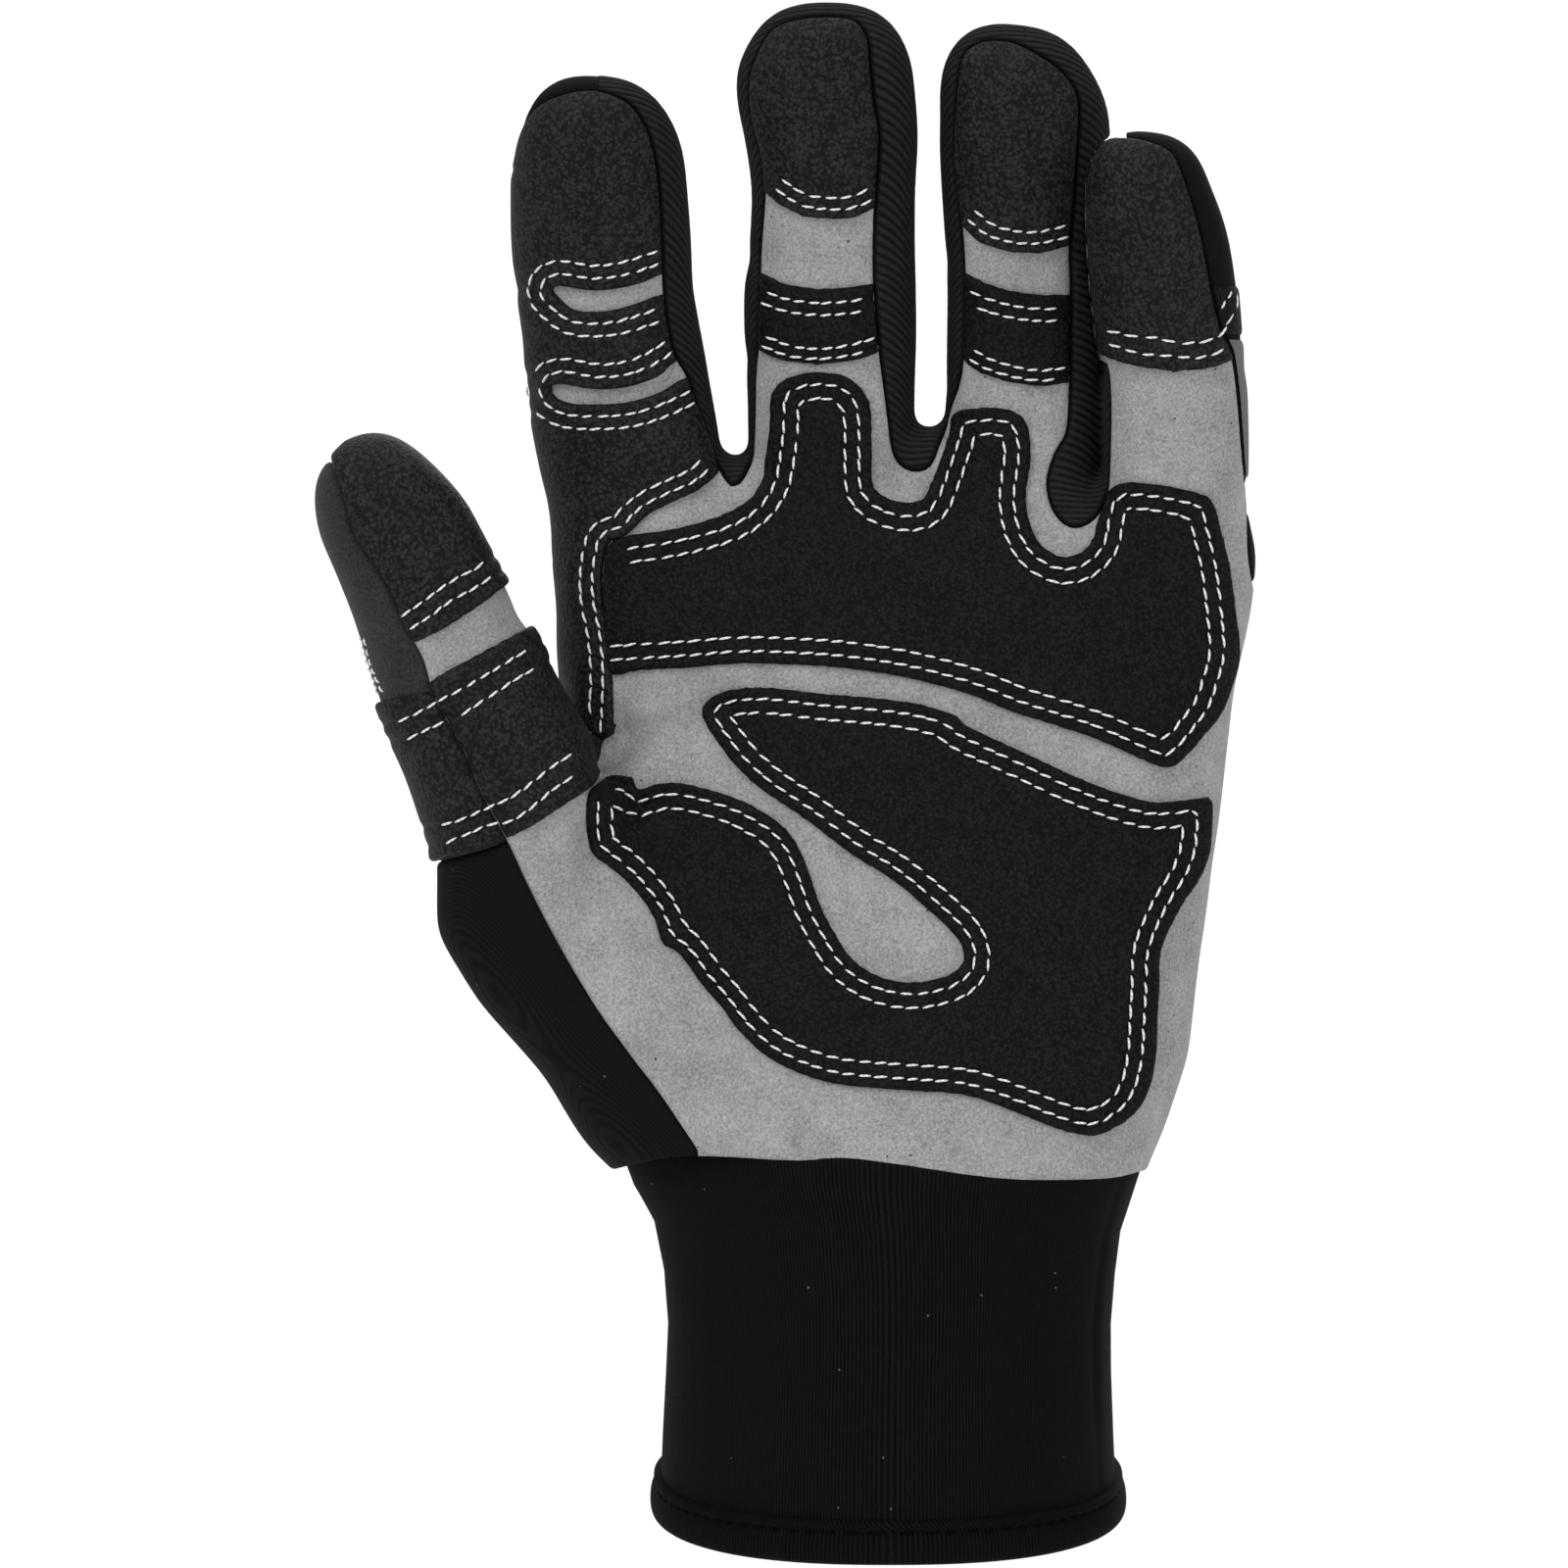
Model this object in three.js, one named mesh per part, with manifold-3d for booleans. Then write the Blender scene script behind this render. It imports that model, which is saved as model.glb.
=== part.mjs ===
// Mechanic glove for a left hand, held open as an unseen hand fills it.
// Millimetres, +Z from the cuff to the fingertips, the palm faces -Y and the thumb is on -X.
// The origin is the middle of the wrist opening, at the hem.
import * as THREE from "three";
import { mergeVertices } from "three/addons/utils/BufferGeometryUtils.js";
import Module from "manifold-3d";

const wasm = await Module();
wasm.setup();

// Driving sizes
const palmWidth = 107; // across the knuckles
const palmLength = 104; // from the cuff's seam to the finger roots
const palmDepth = 38; // palm to back of the hand
const cuffLength = 52; // from the hem to the cuff's seam, along the middle
const cuffLeanDegrees = 16; // how far the hem's end of the cuff leans back
const wristWidth = 69;
const wristDepth = 50;
const thumbWidth = 28;
const thumbDepth = 26;
const thumbTipLength = 14.2; // the rounded end
const panelThickness = 1.4; // stretch fabric and suede
const cuffThickness = 1.8;
const patchThickness = 1.1;
const bindingHeight = 6.5;
const bindingThickness = 1.3; // outside the cuff
const seamGap = 0.3; // left between two pieces that meet
const sideStripDepth = 13; // grey strip behind the little finger's seam, seen from the side
const sideStripUp = { from: 0.835, to: 1.26 }; // shares of the palm's length
const sideTabUp = { from: 1.268, to: 1.35 };

// How finely the rounded forms are divided, outside and inside the walls
const fingerSides = { outside: 12, inside: 8 };
const thumbSides = { outside: 12, inside: 8 };
const palmSides = { outside: 20, inside: 16 };
const cuffSides = { outside: 24, inside: 24 };

// Fingers: sizes in millimetres. across is the middle line's place at four even heights, as shares of
// the palm's width. forward is how far the same four points curl towards the palm, as shares of length.
// edges are the palm panel's two edges, as shares of half the finger's width, at the root and at the tip,
// and edgeFrom is the share of the length at which they start.
const fingers = {
  index: {
    width: 27,
    depth: 24,
    length: 98,
    rootUp: 0.7,
    across: [-0.34, -0.368, -0.415, -0.426],
    forward: [0, 0.01, 0.07, 0.19],
    edgeFrom: 0.42,
    edges: { left: [-1.25, -1.02], right: [1.1, 0.66] },
  },
  middle: {
    width: 26.5,
    depth: 23.5,
    length: 113,
    rootUp: 0.7,
    across: [-0.083, -0.086, -0.087, -0.091],
    forward: [0, 0.01, 0.06, 0.18],
    edgeFrom: 0.38,
    edges: { left: [-1.05, -0.74], right: [0.9, 0.46] },
  },
  ring: {
    width: 25.6,
    depth: 23,
    length: 109,
    rootUp: 0.7,
    across: [0.155, 0.172, 0.198, 0.198],
    forward: [0, 0.0, 0.035, 0.12],
    edgeFrom: 0.38,
    edges: { left: [-0.65, -0.82], right: [0.7, 0.54] },
  },
  little: {
    width: 23.5,
    depth: 20.5,
    length: 103.5,
    rootUp: 0.6,
    across: [0.405, 0.423, 0.413, 0.368],
    forward: [0, 0.04, 0.15, 0.27],
    edgeFrom: 0.5,
    edges: { left: [-0.95, -0.88], right: [1.2, 0.5] },
  },
};

// One finger's form: at is a share of its length, width and depth are shares of its own.
const fingerForm = [
  { at: 0, width: 0.96, depth: 1.04 },
  { at: 0.36, width: 0.99, depth: 1.03 },
  { at: 0.6, width: 1.01, depth: 0.98 },
  { at: 0.73, width: 0.96, depth: 0.91 },
  { at: 0.9, width: 1.03, depth: 0.87 },
];
const tipSteps = [0.45, 0.78, 0.96]; // shares of the rounded end

// The palm: up is a share of its length, left and right of its width, depth of its depth.
const palmForm = [
  { up: -0.02, left: -0.372, right: 0.368, depth: 1.31 },
  { up: 0.073, left: -0.42, right: 0.404, depth: 1.26 },
  { up: 0.185, left: -0.45, right: 0.438, depth: 1.18 },
  { up: 0.42, left: -0.475, right: 0.465, depth: 1.07 },
  { up: 0.7, left: -0.48, right: 0.496, depth: 0.97 },
  { up: 0.856, left: -0.484, right: 0.53, depth: 0.85 },
  { up: 0.94, left: -0.49, right: 0.532, depth: 0.76 },
  { up: 0.99, left: -0.46, right: 0.49, depth: 0.6 },
];

// The thumb, from the heel of the hand: across and up are shares of the palm's width and length,
// forward of its depth, width and depth of the thumb's own.
const thumbForm = [
  { across: -0.25, up: 0.02, forward: 0.02, width: 1.05, depth: 1.2 },
  { across: -0.385, up: 0.185, forward: 0.12, width: 1.12, depth: 1.24 },
  { across: -0.475, up: 0.334, forward: 0.24, width: 1.14, depth: 1.2 },
  { across: -0.526, up: 0.483, forward: 0.36, width: 1.09, depth: 1.1 },
  { across: -0.582, up: 0.62, forward: 0.46, width: 1.02, depth: 1.02 },
  { across: -0.63, up: 0.76, forward: 0.54, width: 0.98, depth: 0.97 },
  { across: -0.684, up: 0.893, forward: 0.6, width: 0.905, depth: 0.9 },
  { across: -0.731, up: 1.005, forward: 0.63, width: 0.81, depth: 0.82 },
];
const thumbTip = { across: -0.765, up: 1.14, forward: 0.65 };

// The cuff, from the hem: at is a share of its length, shift of the wrist's width.
const cuffForm = [
  { at: 0, width: 1.02, depth: 1.04, shift: 0 },
  { at: 0.55, width: 0.99, depth: 0.99, shift: 0.002 },
  { at: 0.75, width: 1.02, depth: 0.985, shift: -0.002 },
  { at: 0.88, width: 1.075, depth: 0.985, shift: -0.006 },
  { at: 1, width: 1.155, depth: 0.99, shift: -0.01 },
];

// The places where two fingers part, on the palm side: up is a share of the palm's length, rise is how
// much higher the seam lies beside the parting, top is where the web between the fingers ends, and
// depth is the web's own, as a share of the palm's.
const crotches = [
  { up: 1.046, rise: 0.02, top: 1.09, depth: 0.5 },
  { up: 1.07, rise: 0.02, top: 1.13, depth: 0.5 },
  { up: 0.985, rise: 0.03, top: 1.05, depth: 0.46 },
];
const webReach = 0.26; // half a web's width, as a share of the way between two fingers' middles
// A web's sections: below is how far under its top, as a share of the palm's length, and depth is a
// share of the web's own.
const webForm = [
  { below: 0.25, depth: 1.5 },
  { below: 0.09, depth: 1.25 },
  { below: 0.025, depth: 0.8 },
  { below: 0, depth: 0.35 },
];

// The seam down the thumb to the cuff, from the tip.
const thumbSeam = [
  { across: -0.85, up: 1.17 },
  { across: -0.827, up: 1.076 },
  { across: -0.794, up: 0.97 },
  { across: -0.739, up: 0.881 },
  { across: -0.692, up: 0.785 },
  { across: -0.665, up: 0.705 },
  { across: -0.606, up: 0.581 },
  { across: -0.568, up: 0.51 },
  { across: -0.495, up: 0.361 },
  { across: -0.385, up: 0.18 },
  { across: -0.285, up: 0.034 },
  { across: -0.25, up: -0.06 },
];

// Outlines of the black patches on the palm: shares of the palm's width and length, clockwise.
const upperPatchOutline = [
  { across: -0.405, up: 0.96 },
  { across: -0.332, up: 0.978 },
  { across: -0.236, up: 1.005 },
  { across: -0.188, up: 1.051 },
  { across: -0.174, up: 1.134 },
  { across: -0.159, up: 1.2 },
  { across: -0.106, up: 1.218 },
  { across: -0.043, up: 1.198 },
  { across: -0.029, up: 1.146 },
  { across: -0.026, up: 1.072 },
  { across: -0.004, up: 1.025 },
  { across: 0.025, up: 1.018 },
  { across: 0.054, up: 1.034 },
  { across: 0.074, up: 1.085 },
  { across: 0.1, up: 1.155 },
  { across: 0.167, up: 1.164 },
  { across: 0.206, up: 1.134 },
  { across: 0.204, up: 1.042 },
  { across: 0.22, up: 0.964 },
  { across: 0.256, up: 0.939 },
  { across: 0.293, up: 0.955 },
  { across: 0.319, up: 1.034 },
  { across: 0.361, up: 1.052 },
  { across: 0.465, up: 1.033 },
  { across: 0.488, up: 0.976 },
  { across: 0.508, up: 0.847 },
  { across: 0.507, up: 0.759 },
  { across: 0.475, up: 0.684 },
  { across: 0.41, up: 0.622 },
  { across: 0.306, up: 0.662 },
  { across: 0.12, up: 0.729 },
  { across: -0.064, up: 0.769 },
  { across: -0.222, up: 0.777 },
  { across: -0.4, up: 0.767 },
];
const lowerPatchOutline = [
  { across: -0.439, up: 0.586 },
  { across: -0.398, up: 0.604 },
  { across: -0.374, up: 0.587 },
  { across: -0.326, up: 0.595 },
  { across: -0.226, up: 0.571 },
  { across: -0.155, up: 0.526 },
  { across: -0.117, up: 0.453 },
  { across: -0.08, up: 0.364 },
  { across: -0.035, up: 0.31 },
  { across: 0.032, up: 0.291 },
  { across: 0.094, up: 0.306 },
  { across: 0.107, up: 0.346 },
  { across: 0.054, up: 0.405 },
  { across: -0.059, up: 0.489 },
  { across: -0.184, up: 0.581 },
  { across: -0.255, up: 0.659 },
  { across: -0.275, up: 0.711 },
  { across: -0.226, up: 0.738 },
  { across: -0.101, up: 0.73 },
  { across: 0.071, up: 0.706 },
  { across: 0.159, up: 0.659 },
  { across: 0.265, up: 0.608 },
  { across: 0.39, up: 0.565 },
  { across: 0.468, up: 0.57 },
  { across: 0.464, up: 0.487 },
  { across: 0.427, up: 0.407 },
  { across: 0.397, up: 0.331 },
  { across: 0.393, up: 0.236 },
  { across: 0.372, up: 0.118 },
  { across: 0.307, up: 0.06 },
  { across: 0.22, up: 0.079 },
  { across: 0.099, up: 0.122 },
  { across: -0.059, up: 0.134 },
  { across: -0.159, up: 0.165 },
  { across: -0.243, up: 0.247 },
  { across: -0.316, up: 0.34 },
  { across: -0.359, up: 0.408 },
  { across: -0.437, up: 0.484 },
];
// The index finger's patch below its panel edge, down to the thumb's web.
const indexPatchFoot = [
  { across: -0.25, up: 1.062 },
  { across: -0.301, up: 1.03 },
  { across: -0.355, up: 1.005 },
  { across: -0.396, up: 0.982 },
  { across: -0.421, up: 0.948 },
  { across: -0.424, up: 0.894 },
  { across: -0.416, up: 0.83 },
  { across: -0.409, up: 0.754 },
  { across: -0.414, up: 0.666 },
  { across: -0.437, up: 0.62 },
  { across: -0.45, up: 0.66 },
  { across: -0.47, up: 0.74 },
  { across: -0.52, up: 0.78 },
];
// The two slots that let the index patch bend: at is a share of the finger's length up its middle
// line, half is half the slot's height as a share of it, and reach runs from the panel's right edge.
const indexSlots = [
  { at: 0.668, half: 0.016, reach: -0.58, lift: 0.023 },
  { at: 0.513, half: 0.014, reach: -0.7, lift: 0.042 },
];
// Patches across the fingers: from and to are shares of the finger's length at the panel's edges,
// and sag is how much lower the middle of a cut edge lies.
const fingerPatches = [
  { name: "patch_middle_tip", finger: "middle", from: [0.729, 0.707], sag: 0.026 },
  { name: "patch_middle_band", finger: "middle", from: [0.509, 0.505], to: [0.619, 0.602], sag: 0.018 },
  { name: "patch_ring_tip", finger: "ring", from: [0.741, 0.679], sag: 0.038 },
  { name: "patch_ring_band", finger: "ring", from: [0.511, 0.48], to: [0.643, 0.609], sag: 0.013 },
  { name: "patch_little_tip", finger: "little", from: [0.647, 0.639], sag: 0.02 },
];
// Cut edges of the thumb's patches, from the seam to the thumb's inner side.
const thumbTipPatchEdge = [
  { across: -0.704, up: 0.806 },
  { across: -0.656, up: 0.818 },
  { across: -0.606, up: 0.86 },
  { across: -0.561, up: 0.902 },
];
const thumbTipOutside = [
  { across: -0.5, up: 1.3 },
  { across: -0.95, up: 1.3 },
  { across: -0.95, up: 0.9 },
];
const thumbSaddleTop = [
  { across: -0.684, up: 0.748 },
  { across: -0.634, up: 0.762 },
  { across: -0.577, up: 0.791 },
  { across: -0.526, up: 0.83 },
  { across: -0.488, up: 0.745 },
  { across: -0.462, up: 0.63 },
];
const thumbSaddleFoot = [
  { across: -0.455, up: 0.582 },
  { across: -0.475, up: 0.566 },
  { across: -0.526, up: 0.532 },
  { across: -0.565, up: 0.51 },
];
const thumbSaddleOutside = [
  { across: -0.62, up: 0.48 },
  { across: -0.72, up: 0.7 },
];
// Where the thumb parts from the index finger, from the band's foot up.
const thumbWeb = [
  { across: -0.462, up: 0.56 },
  { across: -0.462, up: 0.66 },
  { across: -0.488, up: 0.76 },
  { across: -0.56, up: 0.9 },
  { across: -0.6, up: 1.3 },
];
const thumbBackBandTop = [
  { across: -0.85, up: 0.7 },
  { across: -0.759, up: 0.717 },
  { across: -0.674, up: 0.735 },
];
const thumbBackBandFoot = [
  { across: -0.56, up: 0.506 },
  { across: -0.62, up: 0.49 },
  { across: -0.676, up: 0.474 },
  { across: -0.8, up: 0.46 },
];

// Places worked out from the sizes
const cuffLean = THREE.MathUtils.degToRad(cuffLeanDegrees);
const cuffSeamZ = cuffLength * (1 - cuffLean ** 2 / 6); // the cuff's bend takes a little height
const handY = (-cuffLength * cuffLean) / 2; // the cuff straightens on its way up
const farAway = 3 * palmLength;
const handTop = cuffSeamZ + palmLength * 2.2; // above every fingertip
const seamSet = 0.2; // the back seam's place behind a finger's middle, as a share of its depth
const seamStepHalf = 1.2; // half the width over which the back seam steps from one digit to the next
const tipSetBack = 2.6; // the palm panel ends this far short of the fingertip
const webSides = 8;
const roundness = 2.35; // of the sections: 2 is an ellipse, more is squarer

const handPoint = ({ across, up }) => new THREE.Vector2(across * palmWidth, cuffSeamZ + up * palmLength);

// Three.js shapes and manifold solids

function solidOf(geometry) {
  const bare = geometry.index ? geometry.toNonIndexed() : geometry.clone();
  bare.deleteAttribute("normal");
  bare.deleteAttribute("uv");
  const merged = mergeVertices(bare, 1e-4);
  const mesh = new wasm.Mesh({
    numProp: 3,
    vertProperties: merged.attributes.position.array,
    triVerts: new Uint32Array(merged.index.array),
  });
  return new wasm.Manifold(mesh);
}

function geometryOf(solid) {
  const mesh = solid.getMesh();
  const geometry = new THREE.BufferGeometry();
  geometry.setAttribute("position", new THREE.BufferAttribute(mesh.vertProperties, 3));
  geometry.setIndex(new THREE.BufferAttribute(mesh.triVerts, 1));
  geometry.computeVertexNormals();
  return geometry;
}

// The body that holds most of the material: cutting thin walls leaves crumbs at the seams.
function mainBody(solid) {
  return solid.decompose().reduce((a, b) => (b.volume() > a.volume() ? b : a));
}

const joined = (solids) => solids.reduce((a, b) => a.add(b));

// A closed tube through sections. Each section has a centre, its side and back directions,
// half its width and half its depth.
function tube(sections, sides) {
  const geometry = new THREE.CylinderGeometry(1, 1, 1, sides, sections.length - 1);
  const place = geometry.attributes.position;
  for (let i = 0; i < place.count; i++) {
    const section = sections[Math.round((0.5 + place.getY(i)) * (sections.length - 1))];
    const radius = Math.min(1, Math.hypot(place.getX(i), place.getZ(i)));
    const angle = Math.atan2(place.getX(i), place.getZ(i));
    const curve = (t) => Math.sign(t) * Math.abs(t) ** (2 / roundness) * radius;
    const point = section.centre
      .clone()
      .addScaledVector(section.side, curve(Math.sin(angle)) * section.halfWidth)
      .addScaledVector(section.back, -curve(Math.cos(angle)) * section.halfDepth);
    place.setXYZ(i, point.x, point.y, point.z);
  }
  return solidOf(geometry);
}

// Directions across a section whose middle line runs along the tangent.
function directions(tangent) {
  const side = new THREE.Vector3(tangent.z, 0, -tangent.x).normalize();
  return { side, back: tangent.clone().cross(side).normalize() };
}

// Finger forms

function fingerLine(finger) {
  const points = finger.across.map((across, i) => {
    const along = i / (finger.across.length - 1);
    const z = cuffSeamZ + finger.rootUp * palmLength + along * finger.length;
    return new THREE.Vector3(across * palmWidth, handY - finger.forward[i] * finger.length, z);
  });
  return new THREE.CatmullRomCurve3(points);
}

// A value from a table's column at a share of the way, straight between its rows.
function columnAt(rows, key, column, share) {
  const next = rows.findIndex((row) => row[key] >= share);
  if (next < 1) return rows[next < 0 ? rows.length - 1 : 0][column];
  const [a, b] = [rows[next - 1], rows[next]];
  return THREE.MathUtils.mapLinear(share, a[key], b[key], a[column], b[column]);
}

const domeStart = (finger) => 1 - finger.width / 2 / finger.length;

// The finger's middle, its directions, its half sizes and how far into the rounded tip it lies.
function fingerSection(finger, share) {
  const line = fingerLine(finger);
  const start = domeStart(finger);
  const dome = Math.max(0, (share - start) / (1 - start));
  const closing = Math.sqrt(Math.max(0, 1 - dome ** 2));
  const formShare = Math.min(share, start);
  return {
    centre: line.getPoint(share),
    ...directions(line.getTangent(share)),
    halfWidth: (finger.width / 2) * columnAt(fingerForm, "at", "width", formShare) * closing,
    halfDepth: (finger.depth / 2) * columnAt(fingerForm, "at", "depth", formShare) * closing,
    dome,
    closing,
  };
}

const sidesFor = (sides, grow) => (grow < 0 ? sides.inside : sides.outside);

// A finger's form, grown outwards by an offset.
function fingerSolid(finger, grow) {
  const start = domeStart(finger);
  const body = fingerForm.map((row) => row.at).filter((at) => at < start - 0.02);
  const shares = [...body, start, ...tipSteps.map((step) => THREE.MathUtils.lerp(start, 1, step))];
  const sections = shares.map((share) => {
    const section = fingerSection(finger, share);
    const up = section.side.clone().cross(section.back);
    section.halfWidth += grow * section.closing;
    section.halfDepth += grow * section.closing;
    section.centre.addScaledVector(up, grow * section.dome);
    return section;
  });
  return tube(sections, sidesFor(fingerSides, grow));
}

// Palm, thumb and cuff forms

function palmSolid(grow) {
  const top = palmForm.length - 1;
  const sections = palmForm.map((row, i) => {
    const z = cuffSeamZ + row.up * palmLength + (i === top ? grow : 0);
    return {
      centre: new THREE.Vector3(((row.left + row.right) / 2) * palmWidth, handY, z),
      side: new THREE.Vector3(1, 0, 0),
      back: new THREE.Vector3(0, 1, 0),
      halfWidth: ((row.right - row.left) / 2) * palmWidth + grow,
      halfDepth: (row.depth / 2) * palmDepth + grow,
    };
  });
  return tube(sections, sidesFor(palmSides, grow));
}

const fingerAt = (i, z) => {
  const finger = Object.values(fingers)[i];
  return fingerSection(finger, (z - cuffSeamZ - finger.rootUp * palmLength) / finger.length);
};

// The web between two fingers, from inside the palm to its top.
function webSolid(crotch, first, grow) {
  const rootZ = cuffSeamZ + crotch.up * palmLength;
  const [left, right] = [fingerAt(first, rootZ).centre.x, fingerAt(first + 1, rootZ).centre.x];
  const sections = webForm.map((row, i) => {
    const z = cuffSeamZ + (crotch.top - row.below) * palmLength + (i === webForm.length - 1 ? grow : 0);
    return {
      centre: new THREE.Vector3((left + right) / 2, handY, z),
      side: new THREE.Vector3(1, 0, 0),
      back: new THREE.Vector3(0, 1, 0),
      halfWidth: webReach * (right - left) + grow,
      halfDepth: (row.depth * crotch.depth * palmDepth) / 2 + grow,
    };
  });
  return tube(sections, webSides);
}

const thumbPoint = (row) =>
  new THREE.Vector3(row.across * palmWidth, handY - row.forward * palmDepth, cuffSeamZ + row.up * palmLength);

function thumbSolid(grow) {
  const centres = thumbForm.map(thumbPoint);
  const last = centres.length - 1;
  const tipWay = thumbPoint(thumbTip).sub(centres[last]).normalize();
  const sections = thumbForm.map((row, i) => {
    const tangent = centres[Math.min(i + 1, last)].clone().sub(centres[Math.max(i - 1, 0)]);
    return {
      centre: centres[i].clone(),
      ...directions((i === last ? tipWay : tangent).normalize()),
      halfWidth: (row.width / 2) * thumbWidth + grow,
      halfDepth: (row.depth / 2) * thumbDepth + grow,
    };
  });
  const end = sections[last];
  for (const step of tipSteps) {
    const closing = Math.sqrt(1 - step ** 2);
    sections.push({
      ...end,
      centre: end.centre.clone().addScaledVector(tipWay, (thumbTipLength + grow) * step),
      halfWidth: end.halfWidth * closing,
      halfDepth: end.halfDepth * closing,
    });
  }
  return tube(sections, sidesFor(thumbSides, grow));
}

function cuffSection(at, grow) {
  const lean = cuffLean * (1 - at);
  const along = cuffLength * at;
  return {
    centre: new THREE.Vector3(
      columnAt(cuffForm, "at", "shift", at) * wristWidth,
      -along * cuffLean * (1 - at / 2),
      (cuffSeamZ / cuffLength) * along,
    ),
    side: new THREE.Vector3(1, 0, 0),
    back: new THREE.Vector3(0, Math.cos(lean), Math.sin(lean)),
    halfWidth: (columnAt(cuffForm, "at", "width", at) / 2) * wristWidth + grow,
    halfDepth: (columnAt(cuffForm, "at", "depth", at) / 2) * wristDepth + grow,
  };
}

// A cuff sleeve between two shares of its length.
function cuffSolid(from, to, grow) {
  const inside = cuffForm.map((row) => row.at).filter((at) => at > from + 0.02 && at < to - 0.02);
  return tube([from, ...inside, to].map((at) => cuffSection(at, grow)), sidesFor(cuffSides, grow));
}

// The whole hand's form, grown outwards by an offset, or taken in by a negative one.
function handSolid(grow) {
  return joined([
    palmSolid(grow),
    thumbSolid(grow),
    ...Object.values(fingers).map((finger) => fingerSolid(finger, grow)),
    ...crotches.map((crotch, i) => webSolid(crotch, i, grow)),
  ]);
}

// Seams and outlines on the palm's view

// The back seam at a height: one place for each digit, from the thumb to the little finger.
function backSeamPlaces(z) {
  const centres = thumbForm.map(thumbPoint);
  const nearest = centres.reduce((a, b) => (Math.abs(b.z - z) < Math.abs(a.z - z) ? b : a));
  const places = [{ x: nearest.x, y: nearest.y + seamSet * thumbDepth }];
  for (const finger of Object.values(fingers)) {
    const root = cuffSeamZ + finger.rootUp * palmLength;
    const share = THREE.MathUtils.clamp((z - root) / finger.length, 0, 1);
    const middle = fingerLine(finger).getPoint(share);
    places.push({ x: middle.x, y: middle.y + seamSet * finger.depth });
  }
  return places;
}

// All space in front of the back seam, moved by an offset in depth. The surface is flat across each
// digit and steps to the next one halfway between the two.
function frontSpace(shift) {
  const digits = Object.keys(fingers).length + 1;
  const geometry = new THREE.BoxGeometry(1, farAway, handTop, 2 * digits - 1, 1, 6);
  geometry.translate(0.5, -farAway, handTop / 2);
  const place = geometry.attributes.position;
  for (let i = 0; i < place.count; i++) {
    const places = backSeamPlaces(place.getZ(i));
    const column = Math.round(place.getX(i) * (2 * digits - 1));
    const digit = Math.floor(column / 2);
    const way = column % 2 ? 1 : -1;
    const neighbour = places[digit + way];
    const halfway = neighbour ? (places[digit].x + neighbour.x) / 2 - way * seamStepHalf : way * palmWidth;
    place.setX(i, halfway);
    if (place.getY(i) > -farAway) place.setY(i, places[digit].y + shift);
  }
  return solidOf(geometry);
}

// An outline in the XZ plane, cut through all of the depth.
function cutThrough(points) {
  const geometry = new THREE.ExtrudeGeometry(new THREE.Shape(points), {
    depth: 2 * farAway,
    bevelEnabled: false,
  });
  return solidOf(geometry.rotateX(Math.PI / 2).translate(0, farAway, 0));
}

// A smooth path through points of the palm's view.
function smooth(points, closed, count) {
  const curve = new THREE.CatmullRomCurve3(points.map((p) => new THREE.Vector3(p.x, p.y, 0)), closed);
  const path = curve.getPoints(count).map((p) => new THREE.Vector2(p.x, p.y));
  return closed ? path.slice(0, -1) : path;
}

// A rectangle of the palm's view, cut through all of the depth.
const block = (left, right, low, high) =>
  cutThrough([
    new THREE.Vector2(left, low),
    new THREE.Vector2(right, low),
    new THREE.Vector2(right, high),
    new THREE.Vector2(left, high),
  ]);

// A path moved sideways in its own plane, to its left for a positive offset.
function moved(points, offset) {
  return points.map((point, i) => {
    const ahead = points[Math.min(i + 1, points.length - 1)];
    const behind = points[Math.max(i - 1, 0)];
    const way = ahead.clone().sub(behind).normalize();
    return new THREE.Vector2(point.x - way.y * offset, point.y + way.x * offset);
  });
}

// The palm panel's edge on a finger, seen from the palm: which is left or right.
function panelEdge(finger, which, share) {
  const { centre, side, halfWidth } = fingerSection(finger, share);
  const [root, tip] = finger.edges[which];
  const edge = centre.addScaledVector(side, THREE.MathUtils.lerp(root, tip, share) * halfWidth);
  return new THREE.Vector2(edge.x, edge.z);
}

// The palm panel's seam over one fingertip, from the left edge to the right one.
function fingerSeam(finger) {
  const shares = [finger.edgeFrom, 0.55, 0.72, domeStart(finger)];
  const left = shares.map((share) => panelEdge(finger, "left", share));
  const right = shares.map((share) => panelEdge(finger, "right", share)).reverse();
  const [start, end] = [left.at(-1), right[0]];
  const rise = finger.width / 2 - tipSetBack;
  const arc = [0.2, 0.5, 0.8].map((t) => {
    const x = THREE.MathUtils.lerp(start.x, end.x, (1 - Math.cos(Math.PI * t)) / 2);
    const up = Math.sin(Math.PI * t) ** 0.8 * rise;
    return new THREE.Vector2(x, THREE.MathUtils.lerp(start.y, end.y, t) + up);
  });
  return { left, arc, right };
}

// The palm panel's whole seam past the fingers, from outside the index to outside the little finger.
// Between two fingers it dips to the parting, inside the gap that their edges leave.
function wholeFingerSeam() {
  const seams = Object.values(fingers).map(fingerSeam);
  const path = [];
  seams.forEach(({ left, arc, right }, i) => {
    path.push(...(i === 0 ? left.slice(-1) : left), ...arc, ...right);
    if (!crotches[i]) return;
    const { up, rise } = crotches[i];
    const [from, to] = [right.at(-1).x, seams[i + 1].left[0].x];
    for (const [share, height] of [[0.3, up + rise], [0.5, up], [0.7, up + rise]]) {
      path.push(new THREE.Vector2(THREE.MathUtils.lerp(from, to, share), cuffSeamZ + height * palmLength));
    }
  });
  const outside = ({ x, y }, way) =>
    new THREE.Vector2(x + way * 0.14 * palmWidth, y - 0.08 * palmLength);
  return [outside(path[0], -1), ...path, outside(path.at(-1), 1)];
}

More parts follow.
